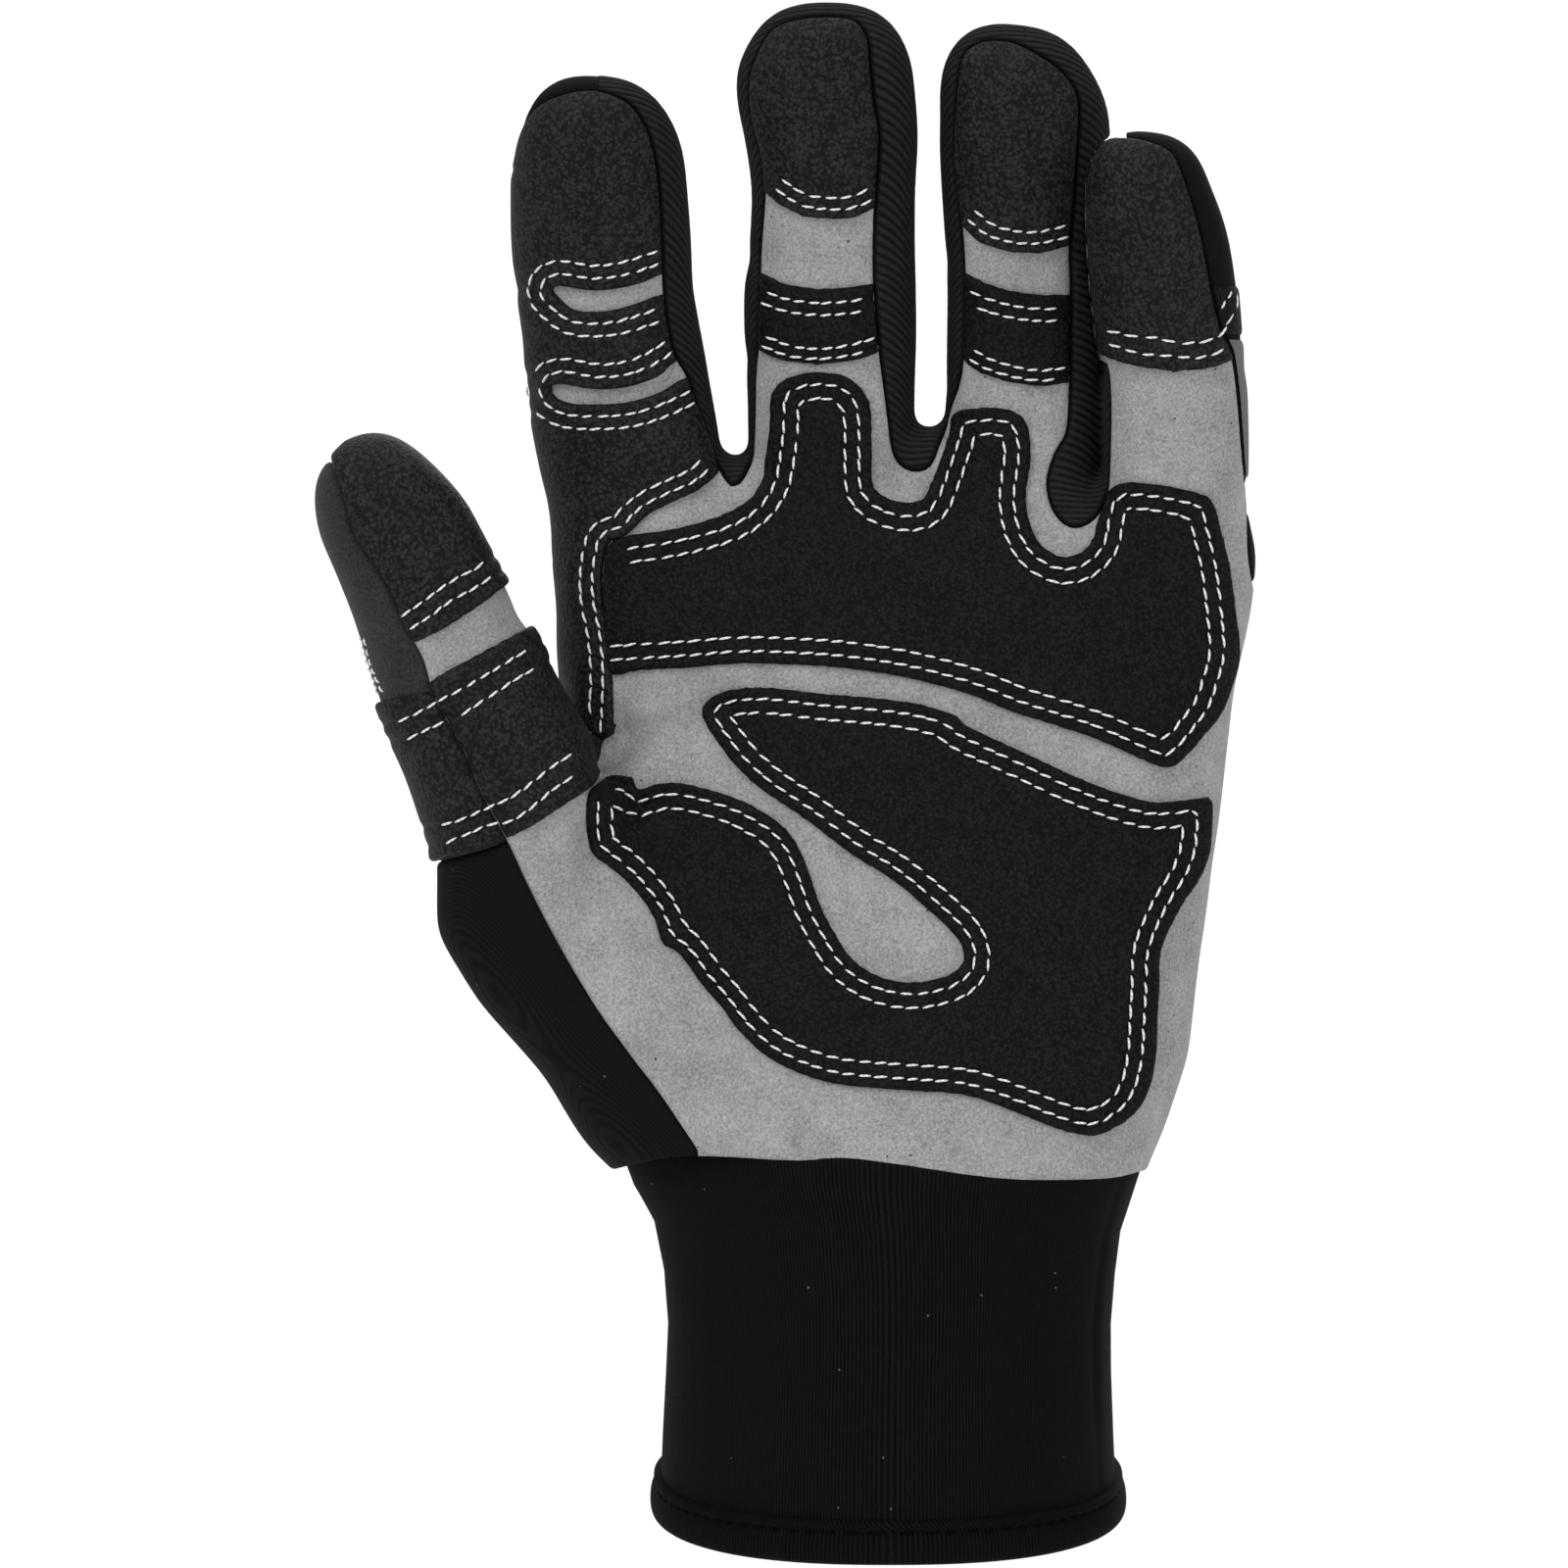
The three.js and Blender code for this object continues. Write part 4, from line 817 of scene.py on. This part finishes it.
# Grip patches, as outlines in the view. Where one reaches a seam it is left to run past it, and the
# panel's own edge cuts it.
patches = {
    "patch_upper_palm": traced(
        619, 566, 637, 549, 679, 543, 719, 534, 745, 525, 765, 512, 778, 494, 783, 476, 788, 438, 789, 406,
        798, 391, 817, 383, 835, 381, 860, 384, 878, 397, 887, 415, 889, 450, 889, 488, 892, 501, 905, 511,
        925, 516, 942, 512, 951, 493, 959, 471, 969, 442, 977, 422, 998, 418, 1023, 418, 1042, 425,
        1050, 442, 1052, 471, 1047, 503, 1049, 529, 1057, 551, 1068, 562, 1085, 570, 1103, 565, 1116, 551,
        1120, 529, 1128, 505, 1143, 495, 1157, 493, 1192, 497, 1229, 506, 1238, 516, 1245, 544, 1253, 580,
        1259, 631, 1261, 669, 1254, 698, 1243, 729, 1224, 755, 1205, 777, 1191, 784, 1173, 779, 1119, 755,
        1077, 741, 1036, 728, 991, 710, 928, 693, 864, 683, 806, 679, 755, 678, 704, 682, 653, 685,
        622, 687, 618, 640),
    "patch_lower_palm": traced(
        601, 809, 617, 798, 633, 793, 647, 795, 650, 808, 666, 802, 683, 800, 709, 803, 752, 816, 781, 831,
        801, 846, 815, 866, 827, 895, 838, 927, 853, 955, 867, 977, 884, 991, 904, 1000, 930, 1004,
        953, 1001, 973, 994, 983, 983, 982, 967, 970, 950, 945, 927, 910, 898, 867, 871, 824, 838, 781, 809,
        752, 783, 732, 757, 721, 740, 716, 727, 721, 717, 732, 709, 752, 704, 787, 703, 838, 709, 896, 714,
        933, 719, 957, 725, 978, 732, 983, 740, 1018, 757, 1053, 773, 1091, 791, 1130, 807, 1155, 815,
        1177, 820, 1206, 818, 1231, 815, 1234, 822, 1233, 843, 1230, 872, 1219, 901, 1203, 926, 1189, 955,
        1182, 977, 1181, 1006, 1179, 1041, 1177, 1076, 1171, 1108, 1158, 1134, 1142, 1148, 1120, 1159,
        1098, 1158, 1072, 1150, 1040, 1137, 1005, 1124, 976, 1117, 932, 1114, 867, 1109, 833, 1102,
        798, 1088, 775, 1073, 752, 1050, 735, 1027, 715, 1004, 701, 984, 690, 971, 676, 964, 669, 941,
        655, 918, 637, 898, 620, 884, 606, 874, 600, 860, 598, 835),
    "patch_index": traced(
        731, 487, 712, 502, 689, 512, 663, 525, 648, 539, 638, 549, 622, 553, 619, 563, 616, 579, 615, 599,
        617, 619, 622, 642, 625, 668, 626, 693, 626, 719, 627, 738, 627, 756, 614, 772, 596, 752, 584, 728,
        572, 703, 562, 672, 555, 640, 543, 600, 527, 550, 512, 500, 495, 440, 470, 380, 470, 60, 620, 40,
        720, 60, 740, 300, 750, 460),
    "patch_middle_tip": traced(
        744, 199, 784, 199, 798, 210, 820, 221, 847, 224, 870, 223, 894, 214, 940, 200, 950, 20, 850, -30,
        740, 20),
    "patch_middle_band": traced(
        750, 268, 775, 278, 801, 291, 835, 296, 866, 294, 892, 290, 930, 276, 932, 340, 899, 361, 869, 369,
        835, 373, 801, 369, 774, 358, 750, 345),
    "patch_ring_tip": traced(
        950, 208, 981, 231, 1001, 248, 1029, 257, 1059, 259, 1093, 252, 1125, 240, 1130, 60, 1050, -10,
        950, 30),
    "patch_ring_band": traced(
        955, 262, 983, 277, 1004, 289, 1032, 298, 1062, 302, 1094, 301, 1120, 296, 1120, 388, 1093, 392,
        1059, 395, 1029, 390, 1001, 381, 984, 370, 955, 350),
    "patch_little_tip": traced(
        1090, 355, 1125, 363, 1139, 367, 1169, 375, 1200, 379, 1231, 376, 1257, 369, 1290, 360, 1290, 200,
        1230, 100, 1100, 100, 1080, 200),
    "patch_thumb_tip": traced(
        360, 700, 422, 658, 455, 641, 490, 618, 521, 594, 560, 565, 560, 480, 440, 400, 330, 380, 270, 450,
        300, 600),
    "patch_thumb_saddle": traced(
        400, 715, 436, 697, 490, 668, 545, 638, 553, 634, 562, 663, 574, 706, 587, 729, 603, 750, 622, 757,
        610, 783, 605, 803, 580, 819, 545, 842, 518, 857, 480, 872, 440, 820),
    "patch_thumb_back_band": traced(
        340, 726, 384, 718, 433, 707, 470, 700, 560, 850, 518, 860, 480, 870, 441, 881, 400, 890, 330, 900),
}
indexSlots = [traced(
    730, 274, 700, 279, 677, 281, 648, 291, 624, 296, 602, 297, 584, 294, 570, 292, 564, 297, 572, 305,
    584, 316, 602, 319, 627, 317, 651, 310, 679, 300, 730, 290),
              traced(
                  740, 376, 694, 370, 670, 385, 642, 395, 615, 398, 596, 396, 575, 392, 565, 394, 564, 401,
                  569, 407, 587, 413, 627, 413, 651, 409, 676, 400, 703, 385, 740, 388)]
gripLook = {"lift": 0.12, "thick": 1.05, "turn": 0.8, "turnDeep": 0.75, "rows": (0.25, 0.6, 1.0),
            "grooveDeep": 0.26, "grooveWide": 0.6, "wobble": 0.1, "seamSink": 0.75}


# The two palm patches have smooth outlines. The others keep their corners.
def closedOutline(name):
    rows = patches[name]
    line = curveThrough(rows, closed=True) if "palm" in name else np.vstack([rows, rows[:1]])
    return evenly(line, 0.8)


patchMaps = {name: mapOutline(closedOutline(name), 0.4) for name in patches}
slotMaps = [mapOutline(curveThrough(slot, closed=True), 0.3) for slot in indexSlots]


# The point of the surface that the camera sees at a place in the view, at a height over the cloth: it
# starts well in front and moves back by most of the level until none is left.
def onCloth(flat, high):
    depth = np.full(len(flat), -62.0)
    for _ in range(60):
        depth = depth + 0.7 * (levelAt(placed(flat, depth)) - high)
    return placed(flat, depth)


# A line moved sideways by an offset. Places that come nearer to the line than the offset are dropped, so
# tight corners leave no loops.
def moved(line, offset, closed):
    way = np.gradient(line, axis=0)
    if closed:
        way[0] = way[-1] = line[1] - line[-2]
    way /= np.linalg.norm(way, axis=1, keepdims=True)
    side = line + np.column_stack([-way[:, 1], way[:, 0]]) * offset
    distance = np.array([np.hypot(*(line - p).T).min() for p in side])
    side = side[distance > abs(offset) - 0.12]
    if closed:
        side = np.vstack([side, side[:1]])
    return side


# Sewing. edges: the pixels of an edge, whether it is closed, how far its rows lie from it (below zero on
# its right), and the pitch. rows: the pixels of a row itself, its pitch, and its height over the cloth.
stitch = {"wide": 0.2, "share": 0.8, "slant": 0.11, "uneven": 0.06, "seed": 4}
patchTop = gripLook["lift"] + gripLook["thick"]
edges = [(patches["patch_upper_palm"][1:-1], False, (-1.9, -4.1), 2.5),
         (patches["patch_lower_palm"], True, (-1.8, -4.0), 2.5),
         (patches["patch_middle_tip"][1:7], False, (1.5, 3.3), 2.3),
         (patches["patch_middle_band"][1:6], False, (-2.2, -4.1), 2.3),
         (patches["patch_middle_band"][12:7:-1], False, (0.9, 2.5), 2.3),
         (patches["patch_ring_tip"][1:6], False, (1.5, 3.3), 2.3),
         (patches["patch_ring_band"][1:6], False, (-2.2, -4.1), 2.3),
         (patches["patch_ring_band"][12:7:-1], False, (0.9, 2.5), 2.3),
         (traced(
             679, 281, 648, 291, 624, 296, 602, 297, 584, 294, 570, 292, 563, 298, 572, 305, 584, 316,
             602, 319, 627, 317, 651, 310, 681, 300), False, (-1.9, -3.9), 2.3),
         (traced(
             694, 370, 670, 385, 642, 395, 615, 398, 596, 396, 575, 392, 563, 397, 569, 407, 587, 413,
             627, 413, 651, 409, 676, 400, 701, 388), False, (-1.9, -3.9), 2.3),
         (traced(
             731, 487, 712, 502, 689, 512, 663, 525, 648, 539, 638, 549, 622, 553, 619, 563, 616, 579,
             615, 599, 617, 619, 622, 642, 625, 668, 626, 693, 625, 719, 624, 739, 622, 752),
          False, (-1.6, -3.5), 2.4)]
rows = [(traced(408, 631, 426, 619, 437, 611, 453, 599, 466, 591, 482, 583, 494, 575, 508, 566), 2.3, 0),
        (traced(416, 644, 428, 637, 440, 629, 453, 619, 467, 610, 483, 602, 498, 592, 514, 581), 2.3, 0),
        (traced(
            391, 737, 404, 738, 421, 731, 440, 721, 453, 713, 472, 704, 488, 694, 504, 685, 523, 673,
            539, 664, 553, 657), 2.4, 0),
        (traced(
            399, 752, 410, 755, 420, 754, 434, 746, 450, 739, 459, 736, 475, 728, 491, 717, 507, 707,
            523, 696, 542, 685, 561, 675), 2.4, 0),
        (traced(
            432, 843, 453, 842, 469, 838, 485, 831, 498, 825, 517, 817, 533, 807, 545, 798, 561, 785,
            577, 774, 593, 766, 600, 760, 606, 748), 2.4, 0),
        (traced(
            438, 863, 453, 862, 469, 855, 485, 849, 501, 841, 517, 841, 530, 834, 545, 823, 561, 809,
            577, 798, 590, 790, 601, 783), 2.4, 0),
        (traced(
            1127, 338, 1142, 340, 1159, 345, 1175, 344, 1193, 349, 1212, 351, 1231, 349, 1244, 344,
            1255, 332),
         2.9, 0),
        (traced(
            1129, 351, 1140, 354, 1161, 361, 1181, 363, 1201, 364, 1220, 366, 1236, 363, 1251, 357), 2.9, 0),
        (traced(
            1245, 317, 1251, 307, 1258, 297), 2.3, -0.7), (traced(
                1249, 334, 1260, 319, 1263, 300), 2.6, -0.7),
        (traced(
            368, 650, 375, 676, 387, 712), 1.3, -0.95), (traced(372, 652, 379, 680, 391, 708), 1.6, -0.95)]
sewnRows = [(moved(curveThrough(line, closed, 0.4), offset, closed), pitch, 0, True)
            for line, closed, offsets, pitch in edges for offset in offsets]
sewnRows += [(curveThrough(line, False, 0.4), pitch, high, False) for line, pitch, high in rows]

# The distance from the nearest row over the view, on a grid, so that the cloth can be drawn in along it.
rowDots = np.vstack([evenly(row, 0.35) for row, *_ in sewnRows])
grid = np.stack(np.meshgrid(np.arange(-92, 62, 0.4), np.arange(44, 240, 0.4), [0], indexing="ij"), -1)
fromRows = nearestOf(np.insert(rowDots, 2, 0, axis=1), grid.reshape(-1, 3)).reshape(grid.shape[:2])
sewnMap = {"low": np.array([-92.0, 44.0]), "step": 0.4, "layers": [fromRows] * 3}


# The level of a patch over the view: inside its outline, clear of the slots, and inside its panel.
def patchLevels(name, p):
    levels = seamLevels(p)
    own, way = outlineLevel(levels["flat"], patchMaps[name])
    x, z = levels["flat"].T
    wobble = gripLook["wobble"] * np.sin(2.3 * x + 1.1 * z) * np.sin(1.9 * z - 0.8 * x)
    own = own / alongSurface(way, levels["normals"]) + wobble
    if name == "patch_index":
        cuts = [*slotMaps, patchMaps["patch_thumb_saddle"]]
        own = np.maximum(own, -np.min([outlineLevel(levels["flat"], cut)[0] for cut in cuts], axis=0))
    inPanel = np.maximum(levels["seam"], levels["back"])
    if name == "patch_thumb_back_band":
        inPanel = np.maximum(-levels["seam"], levels["back"] - 14)
    return own, inPanel, levels["normals"]


for name in patches:
    low, high = patches[name].min(0) - 3, patches[name].max(0) + 3
    middle = basePoints[baseFaces].mean(1)
    flat = seen(middle)
    front = middle[:, 1] < (16 if name == "patch_thumb_back_band" else 6)
    near = ((flat > low) & (flat < high)).all(1) & front
    patch, own = onlyFaces(basePoints, baseFaces, near)
    for k in (0, 1):
        patch, own = cutAlong(patch, own, patchLevels(name, patch)[k])
    edgeLevel, panelLevel, _ = patchLevels(name, patch[own].mean(1))
    patch, own = largestPart(*onlyFaces(patch, own, (edgeLevel < 0) & (panelLevel < 0)))
    patch, own = finer(patch, own)
    patch = ontoSurface(patch, 1)
    for row in gripLook["rows"]:
        patch, own = cutAlong(patch, own, fromRim(patch, own) - row)
    rim = fromRim(patch, own)
    edgeLevel, panelLevel, normals = patchLevels(name, patch)
    high = gripLook["lift"] + gripLook["thick"] - turnIn(rim, gripLook["turn"], gripLook["turnDeep"])
    fromRow, _ = outlineLevel(seen(patch), sewnMap)
    high -= gripLook["grooveDeep"] * np.exp(-((fromRow / gripLook["grooveWide"]) ** 2))
    sunk = turnIn(-panelLevel, seamTurn["reach"], seamTurn["deep"])
    sunk += gripLook["seamSink"] * (1 - smoothStep(-panelLevel / 4))
    outer = patch + normals * (high - sunk)[:, None]
    inner = patch + normals * (gripLook["lift"] - sunk - 0.02)[:, None]
    finish = "tipGrip" if "tip" in name or "thumb" in name or "index" in name else "palmGrip"
    newPiece(name + "_cloth", *slab(outer, inner, own), finish, name, "black_grip")


# The trim on the little finger's outer side: a grey strip behind the seam, and the tab above it. It is
# inside where all of these levels are below zero.
def sideLevels(p, name, low, high):
    levels = seamLevels(p)
    behind = levels["back"] + 0.3 if name == "little_side_tab" else levels["back"] - 9
    return [low - p[:, 2], p[:, 2] - high, 0.3 - levels["seam"], behind, tipMiddles["little"] + 1 - p[:, 0]]


sideTrim = {"little_side_strip": (138.3, 182.3, "greyTrim", "grey_trim"),
            "little_side_tab": (183.2, 190.6, "palmGrip", "black_grip")}
for name, (low, high, finish, slot) in sideTrim.items():
    middle = basePoints[baseFaces].mean(1)
    near = (middle[:, 2] > low - 4) & (middle[:, 2] < high + 4) & (middle[:, 0] > 38)
    trim, own = onlyFaces(basePoints, baseFaces, near)
    for k in range(5):
        trim, own = cutAlong(trim, own, sideLevels(trim, name, low, high)[k])
    inside = np.max(sideLevels(trim[own].mean(1), name, low, high), axis=0) < 0
    trim, own = largestPart(*onlyFaces(trim, own, inside))
    trim, own = finer(trim, own)
    trim = ontoSurface(trim, 1)
    rim, normals = fromRim(trim, own), outward(trim)
    outer = trim + normals * (0.42 - turnIn(rim, 1.2, 0.36))[:, None]
    newPiece(name + "_cloth", *slab(outer, trim + normals * 0.1, own), finish, name, slot)

print("stage: cuff")
cuff = {"length": 52, "lean": math.radians(16), "foot": 51.3, "width": 69, "depth": 50, "thick": 1.6,
        "around": 320, "along": 150,
        "rows": [
            (0, 1.045, 1.04, -0.003), (0.2, 1.032, 1.01, -0.004), (0.4, 1.018, 0.995, -0.003),
            (0.55, 1.012, 0.99, -0.001), (0.7, 1.03, 0.985, -0.001), (0.82, 1.065, 0.985, -0.006),
            (0.92, 1.14, 0.985, -0.015), (1, 1.185, 1.0, -0.015)],
        "folds": [
            (0.55, -0.42, 0.045, 0.42, 0.5), (0.5, -1.0, 0.16, 0.5, 0.9), (0.62, -0.62, 0.3, 0.25, 0.3),
            (0.35, -2.2, 0.3, 0.35, 0.35), (0.85, -1.6, 0.5, 0.06, 0.25), (0.78, -2.6, 0.25, 0.08, 0.3),
            (0.4, 0.7, 0.3, 0.4, 0.6), (0.6, 2.2, 0.3, 0.4, 0.6)]}


# A cuff point: the section's middle, plus half its width along x and half its depth along its leaning
# back direction, each times a rounded-square cosine and sine of the angle. grow moves it outwards. The
# upper part is stretched until its rim, as seen, follows the seam line.
def cuffPoint(at, angle, grow):
    table = np.array(cuff["rows"])
    wide, deep, shift = (np.interp(at, table[:, 0], table[:, k]) for k in (1, 2, 3))
    lean = cuff["lean"] * (1 - at)
    along = cuff["length"] * at
    halfWidth, halfDepth = wide * cuff["width"] / 2 + grow, deep * cuff["depth"] / 2 + grow
    power = 2 / 2.4
    side = np.sign(np.cos(angle)) * np.abs(np.cos(angle)) ** power * halfWidth
    back = np.sign(np.sin(angle)) * np.abs(np.sin(angle)) ** power * halfDepth
    x = shift * cuff["width"] + side
    y = -along * cuff["lean"] * (1 - at / 2) + back * np.cos(lean)
    z = cuff["foot"] / cuff["length"] * along + back * np.sin(lean)
    near = view["distance"] / (view["distance"] + y)
    seam = np.interp(view["across"] + (x - view["across"]) * near, *cuffSeam.T) + cuffSeamLap
    rise = view["up"] + (seam - view["up"]) / near - cuff["foot"]
    return np.stack([x, y, z + rise * smoothStep((at - 0.6) / 0.4)], axis=-1)


# Faces between the points of a grid whose columns go round, and its rows as well where closed is set.
def gridFaces(rows, columns, closed=False):
    i, j = np.meshgrid(np.arange(rows if closed else rows - 1), np.arange(columns), indexing="ij")
    corners = [(i, j), (i, j + 1), (i + 1, j + 1), (i + 1, j)]
    return np.column_stack([(a % rows * columns + b % columns).ravel() for a, b in corners])


# Folds: each is a bell round its place up the cuff and its angle.
def cuffFolds(at, angle):
    total = np.zeros_like(at)
    for place, turn, wide, tall, deep in cuff["folds"]:
        gap = (angle - turn + math.pi) % (2 * math.pi) - math.pi
        total += deep * np.exp(-((gap / wide) ** 2) - ((at - place) / tall) ** 2)
    return total


angles = np.linspace(-math.pi, math.pi, cuff["around"], endpoint=False)
shares = np.r_[np.linspace(0, 0.985, cuff["along"]), 0.991, 0.996, 1.0]
at, angle = np.meshgrid(shares, angles, indexing="ij")
topTurn = turnIn((1 - at) * cuff["length"], 1.6, 1.1)
outer = cuffPoint(at, angle, -cuffFolds(at, angle) - topTurn)
inner = cuffPoint(at, angle, -cuffFolds(at, angle) - np.maximum(cuff["thick"], topTurn + 0.3))
profile = np.concatenate([outer, inner[::-1]], axis=0)
flatMap = np.stack([angle * 0.034, at * cuff["length"] / 1000], axis=-1)
flatMap = np.concatenate([flatMap, flatMap[::-1]], axis=0)
newPiece("cuff_cloth", profile.reshape(-1, 3), gridFaces(2 * len(shares), cuff["around"], closed=True),
         "cuffKnit", "cuff", "cuff_knit", flatMap.reshape(-1, 2))

# Hem binding: a tape folded round the hem. Its section, as distance from the cuff's face and height: a
# narrow ridge at the top, a groove with the stitches, and the broad ribbed part that turns under.
binding = {"around": 720, "slant": 0.7, "grooveAt": 3.0, "grooveOut": 0.8,
           "section": [
               (0, 4.5), (0.75, 4.45), (1.15, 4.05), (1.15, 3.55), (0.8, 3.05), (1.2, 2.5), (1.55, 1.5),
               (1.6, 0.2), (1.35, -0.9), (0.6, -1.5), (-0.6, -1.65), (-1.9, -1.3), (-2.6, -0.4),
               (-2.7, 1.6), (-2.6, 3.5), (-2.0, 4.2), (-1.0, 4.4)]}
section = curveThrough(binding["section"], closed=True, step=0.35)[:-1]
around = np.linspace(-math.pi, math.pi, binding["around"], endpoint=False)
t, angle = np.meshgrid(np.arange(len(section)), around, indexing="ij")
loops = cuffPoint(section[t, 1] / cuff["length"], angle, section[t, 0])
flatMap = np.stack([angle * 0.034 + binding["slant"] * np.maximum(section[t, 1] - 3.05, 0) / 1000,
                    section[t, 1] / 1000], axis=-1)
bindingFaces = gridFaces(len(section), binding["around"], closed=True)[:, ::-1]
newPiece("cuff_binding_cloth", loops.reshape(-1, 3), bindingFaces, "binding", "cuff_binding", "ribbed_binding",
         flatMap.reshape(-1, 2))

print("stage: stitches")
# Where each stitch of a row starts and ends: even steps along it, a little unevenly spaced and long, and
# each turned by a small slant.
chance = np.random.default_rng(stitch["seed"])


def stitchEnds(row, pitch):
    along = lengthsAlong(row)
    count = max(1, round(along[-1] / pitch))
    step = along[-1] / count
    middle = (np.arange(count) + 0.5) * step + chance.normal(0, stitch["uneven"], count) * step
    half = 0.5 * stitch["share"] * step * (1 + chance.normal(0, stitch["uneven"], count))
    a, b = (np.column_stack([np.interp(middle + s * half, along, c) for c in row.T]) for s in (-1, 1))
    turn = stitch["slant"] + chance.normal(0, 0.6 * stitch["uneven"], count)
    swing = (b - a) / 2 @ np.array([[0, 1], [-1, 0]]) * np.tan(turn)[:, None]
    return a - swing, b + swing


# One stitch is a tube with seven rings: its middle line rises like an arch over its length, and its
# radius falls to the ends like a rounded square.
def stitchMeshes(a, b, wide, up):
    middle, way = (a + b) / 2, b - a
    half = np.linalg.norm(way, axis=1, keepdims=True) / 2
    way = way / np.maximum(2 * half, 1e-6)
    up = up - (up * way).sum(1, keepdims=True) * way
    up /= np.linalg.norm(up, axis=1, keepdims=True)
    side = np.cross(way, up)
    t = np.array([-1, -0.82, -0.45, 0, 0.45, 0.82, 1])
    radius = wide * (1 - 0.75 * np.abs(t) ** 3.5)
    arch = 0.24 * (1 - np.abs(t) ** 3) - 0.08
    turn = np.arange(6) * math.pi / 3
    ring = (middle[:, None, None] + way[:, None, None] * (t[:, None, None] * half[:, None, None])
            + up[:, None, None] * (arch[:, None] + radius[:, None] * np.cos(turn))[..., None]
            + side[:, None, None] * (radius[:, None] * np.sin(turn))[..., None])
    one = np.vstack([gridFaces(7, 6), [[0, 5, 4, 3], [0, 3, 2, 1], [36, 37, 38, 39], [36, 39, 40, 41]]])
    faces = (one[None] + np.arange(len(a))[:, None, None] * 42).reshape(-1, 4)
    flat = np.stack(np.meshgrid(np.linspace(0, 2.0, 7), np.linspace(0, 1, 6), indexing="ij"), -1)
    return ring.reshape(-1, 3), faces, np.tile(flat.reshape(-1, 2), (len(a), 1))


starts, ends = [], []
for row, pitch, high, inside in sewnRows:
    a, b = stitchEnds(row, pitch)
    level = np.maximum(*[outlineLevel(end, panelMap)[0] for end in (a, b)])
    kept = level < -0.3 if inside else np.abs(level) > 0.12
    starts.append(onCloth(a[kept], patchTop - 0.2 + high))
    ends.append(onCloth(b[kept], patchTop - 0.2 + high))
starts, ends = np.vstack(starts), np.vstack(ends)
# Where the line of sight passes beside the glove, or bends far round it, there is no stitch.
onGlove = (np.abs(ends - starts).max(axis=1) < 3) & (np.abs(starts[:, 1]) < 60) & (np.abs(ends[:, 1]) < 60)
starts, ends = starts[onGlove], ends[onGlove]
tubes, tubeFaces, tubeMap = stitchMeshes(starts, ends, stitch["wide"], outward((starts + ends) / 2))
newPiece("white_stitches", tubes, tubeFaces, "thread", flatMap=tubeMap)

# The dark stitches of the hem lie in the binding's groove.
turns = np.arange(0, 2 * math.pi, 2.5 / 31)
groove = np.full(len(turns), binding["grooveAt"] / cuff["length"])
starts, ends = (cuffPoint(groove, turns + s * 0.028, binding["grooveOut"]) for s in (-1, 1))
away = cuffPoint(groove, turns, 6.0) - (starts + ends) / 2
tubes, tubeFaces, tubeMap = stitchMeshes(starts, ends, stitch["wide"], away)
newPiece("hem_stitches", tubes, tubeFaces, "darkThread", flatMap=tubeMap)

print("stage: studio")
bpy.context.scene.view_settings.view_transform = "Standard"

# The floor runs up into a wall behind in one curve: a profile of two straight parts and a quarter round.
studio = {"floor": -0.45, "wide": 6.0, "front": -2.6, "back": 2.8, "round": 0.9, "high": 3.2}
quarter = np.linspace(0, math.pi / 2, 24)
bend = [studio["back"] - studio["round"] + studio["round"] * np.sin(quarter),
        studio["round"] * (1 - np.cos(quarter))]
profile = np.vstack([[studio["front"], 0], np.column_stack(bend), [studio["back"], studio["high"]]])
sweep = np.array([[s * studio["wide"] / 2, y, z + studio["floor"]] for y, z in profile for s in (-1, 1)])
rows = np.arange(len(profile) - 1) * 2
backdrop = bpy.data.meshes.new("floor")
backdrop.from_pydata(sweep.tolist(), [], np.column_stack([rows, rows + 1, rows + 3, rows + 2]).tolist())
backdrop.shade_smooth()
pale, _, shader = newMaterial("pale floor", 0.9)
shader.inputs["Base Color"].default_value = (*grey(0.98), 1)
backdrop.materials.append(pale)
linked("floor", backdrop)

world = bpy.data.worlds.new("studio")
bpy.context.scene.world = world
world.use_nodes = True
world.node_tree.nodes["Background"].inputs["Color"].default_value = (1, 1, 1, 1)
world.node_tree.nodes["Background"].inputs["Strength"].default_value = 0.75


# A square lamp at a place, turned towards a target.
def softLight(name, place, target, size, watts):
    lamp = bpy.data.lights.new(name, "AREA")
    lamp.shape, lamp.size, lamp.energy = "SQUARE", size, watts
    made = linked(name, lamp)
    made.location = place
    x, y, z = np.array(target) - np.array(place)
    made.rotation_euler = (math.atan2(math.hypot(x, y), -z), 0, math.atan2(y, x) - math.pi / 2)


softLight("key", (-0.9, -1.1, 1.3), (0, 0, 0.12), 0.9, 22)
softLight("fill", (1.2, -1.2, 0.6), (0, 0, 0.12), 1.2, 10)
softLight("top", (0, 0.3, 1.8), (0, 0, 0.1), 1.4, 14)
softLight("back", (0.5, 1.7, 1.1), (0, 0, 0.1), 1.4, 14)

camera = bpy.data.cameras.new("camera")
camera.lens, camera.sensor_width = 290.3, 36.0
camera.clip_start, camera.clip_end = 0.05, 30
eye = linked("camera", camera)
eye.location = (view["across"] / 1000, -view["distance"] / 1000, view["up"] / 1000)
eye.rotation_euler = (math.pi / 2, 0, 0)
bpy.context.scene.camera = eye
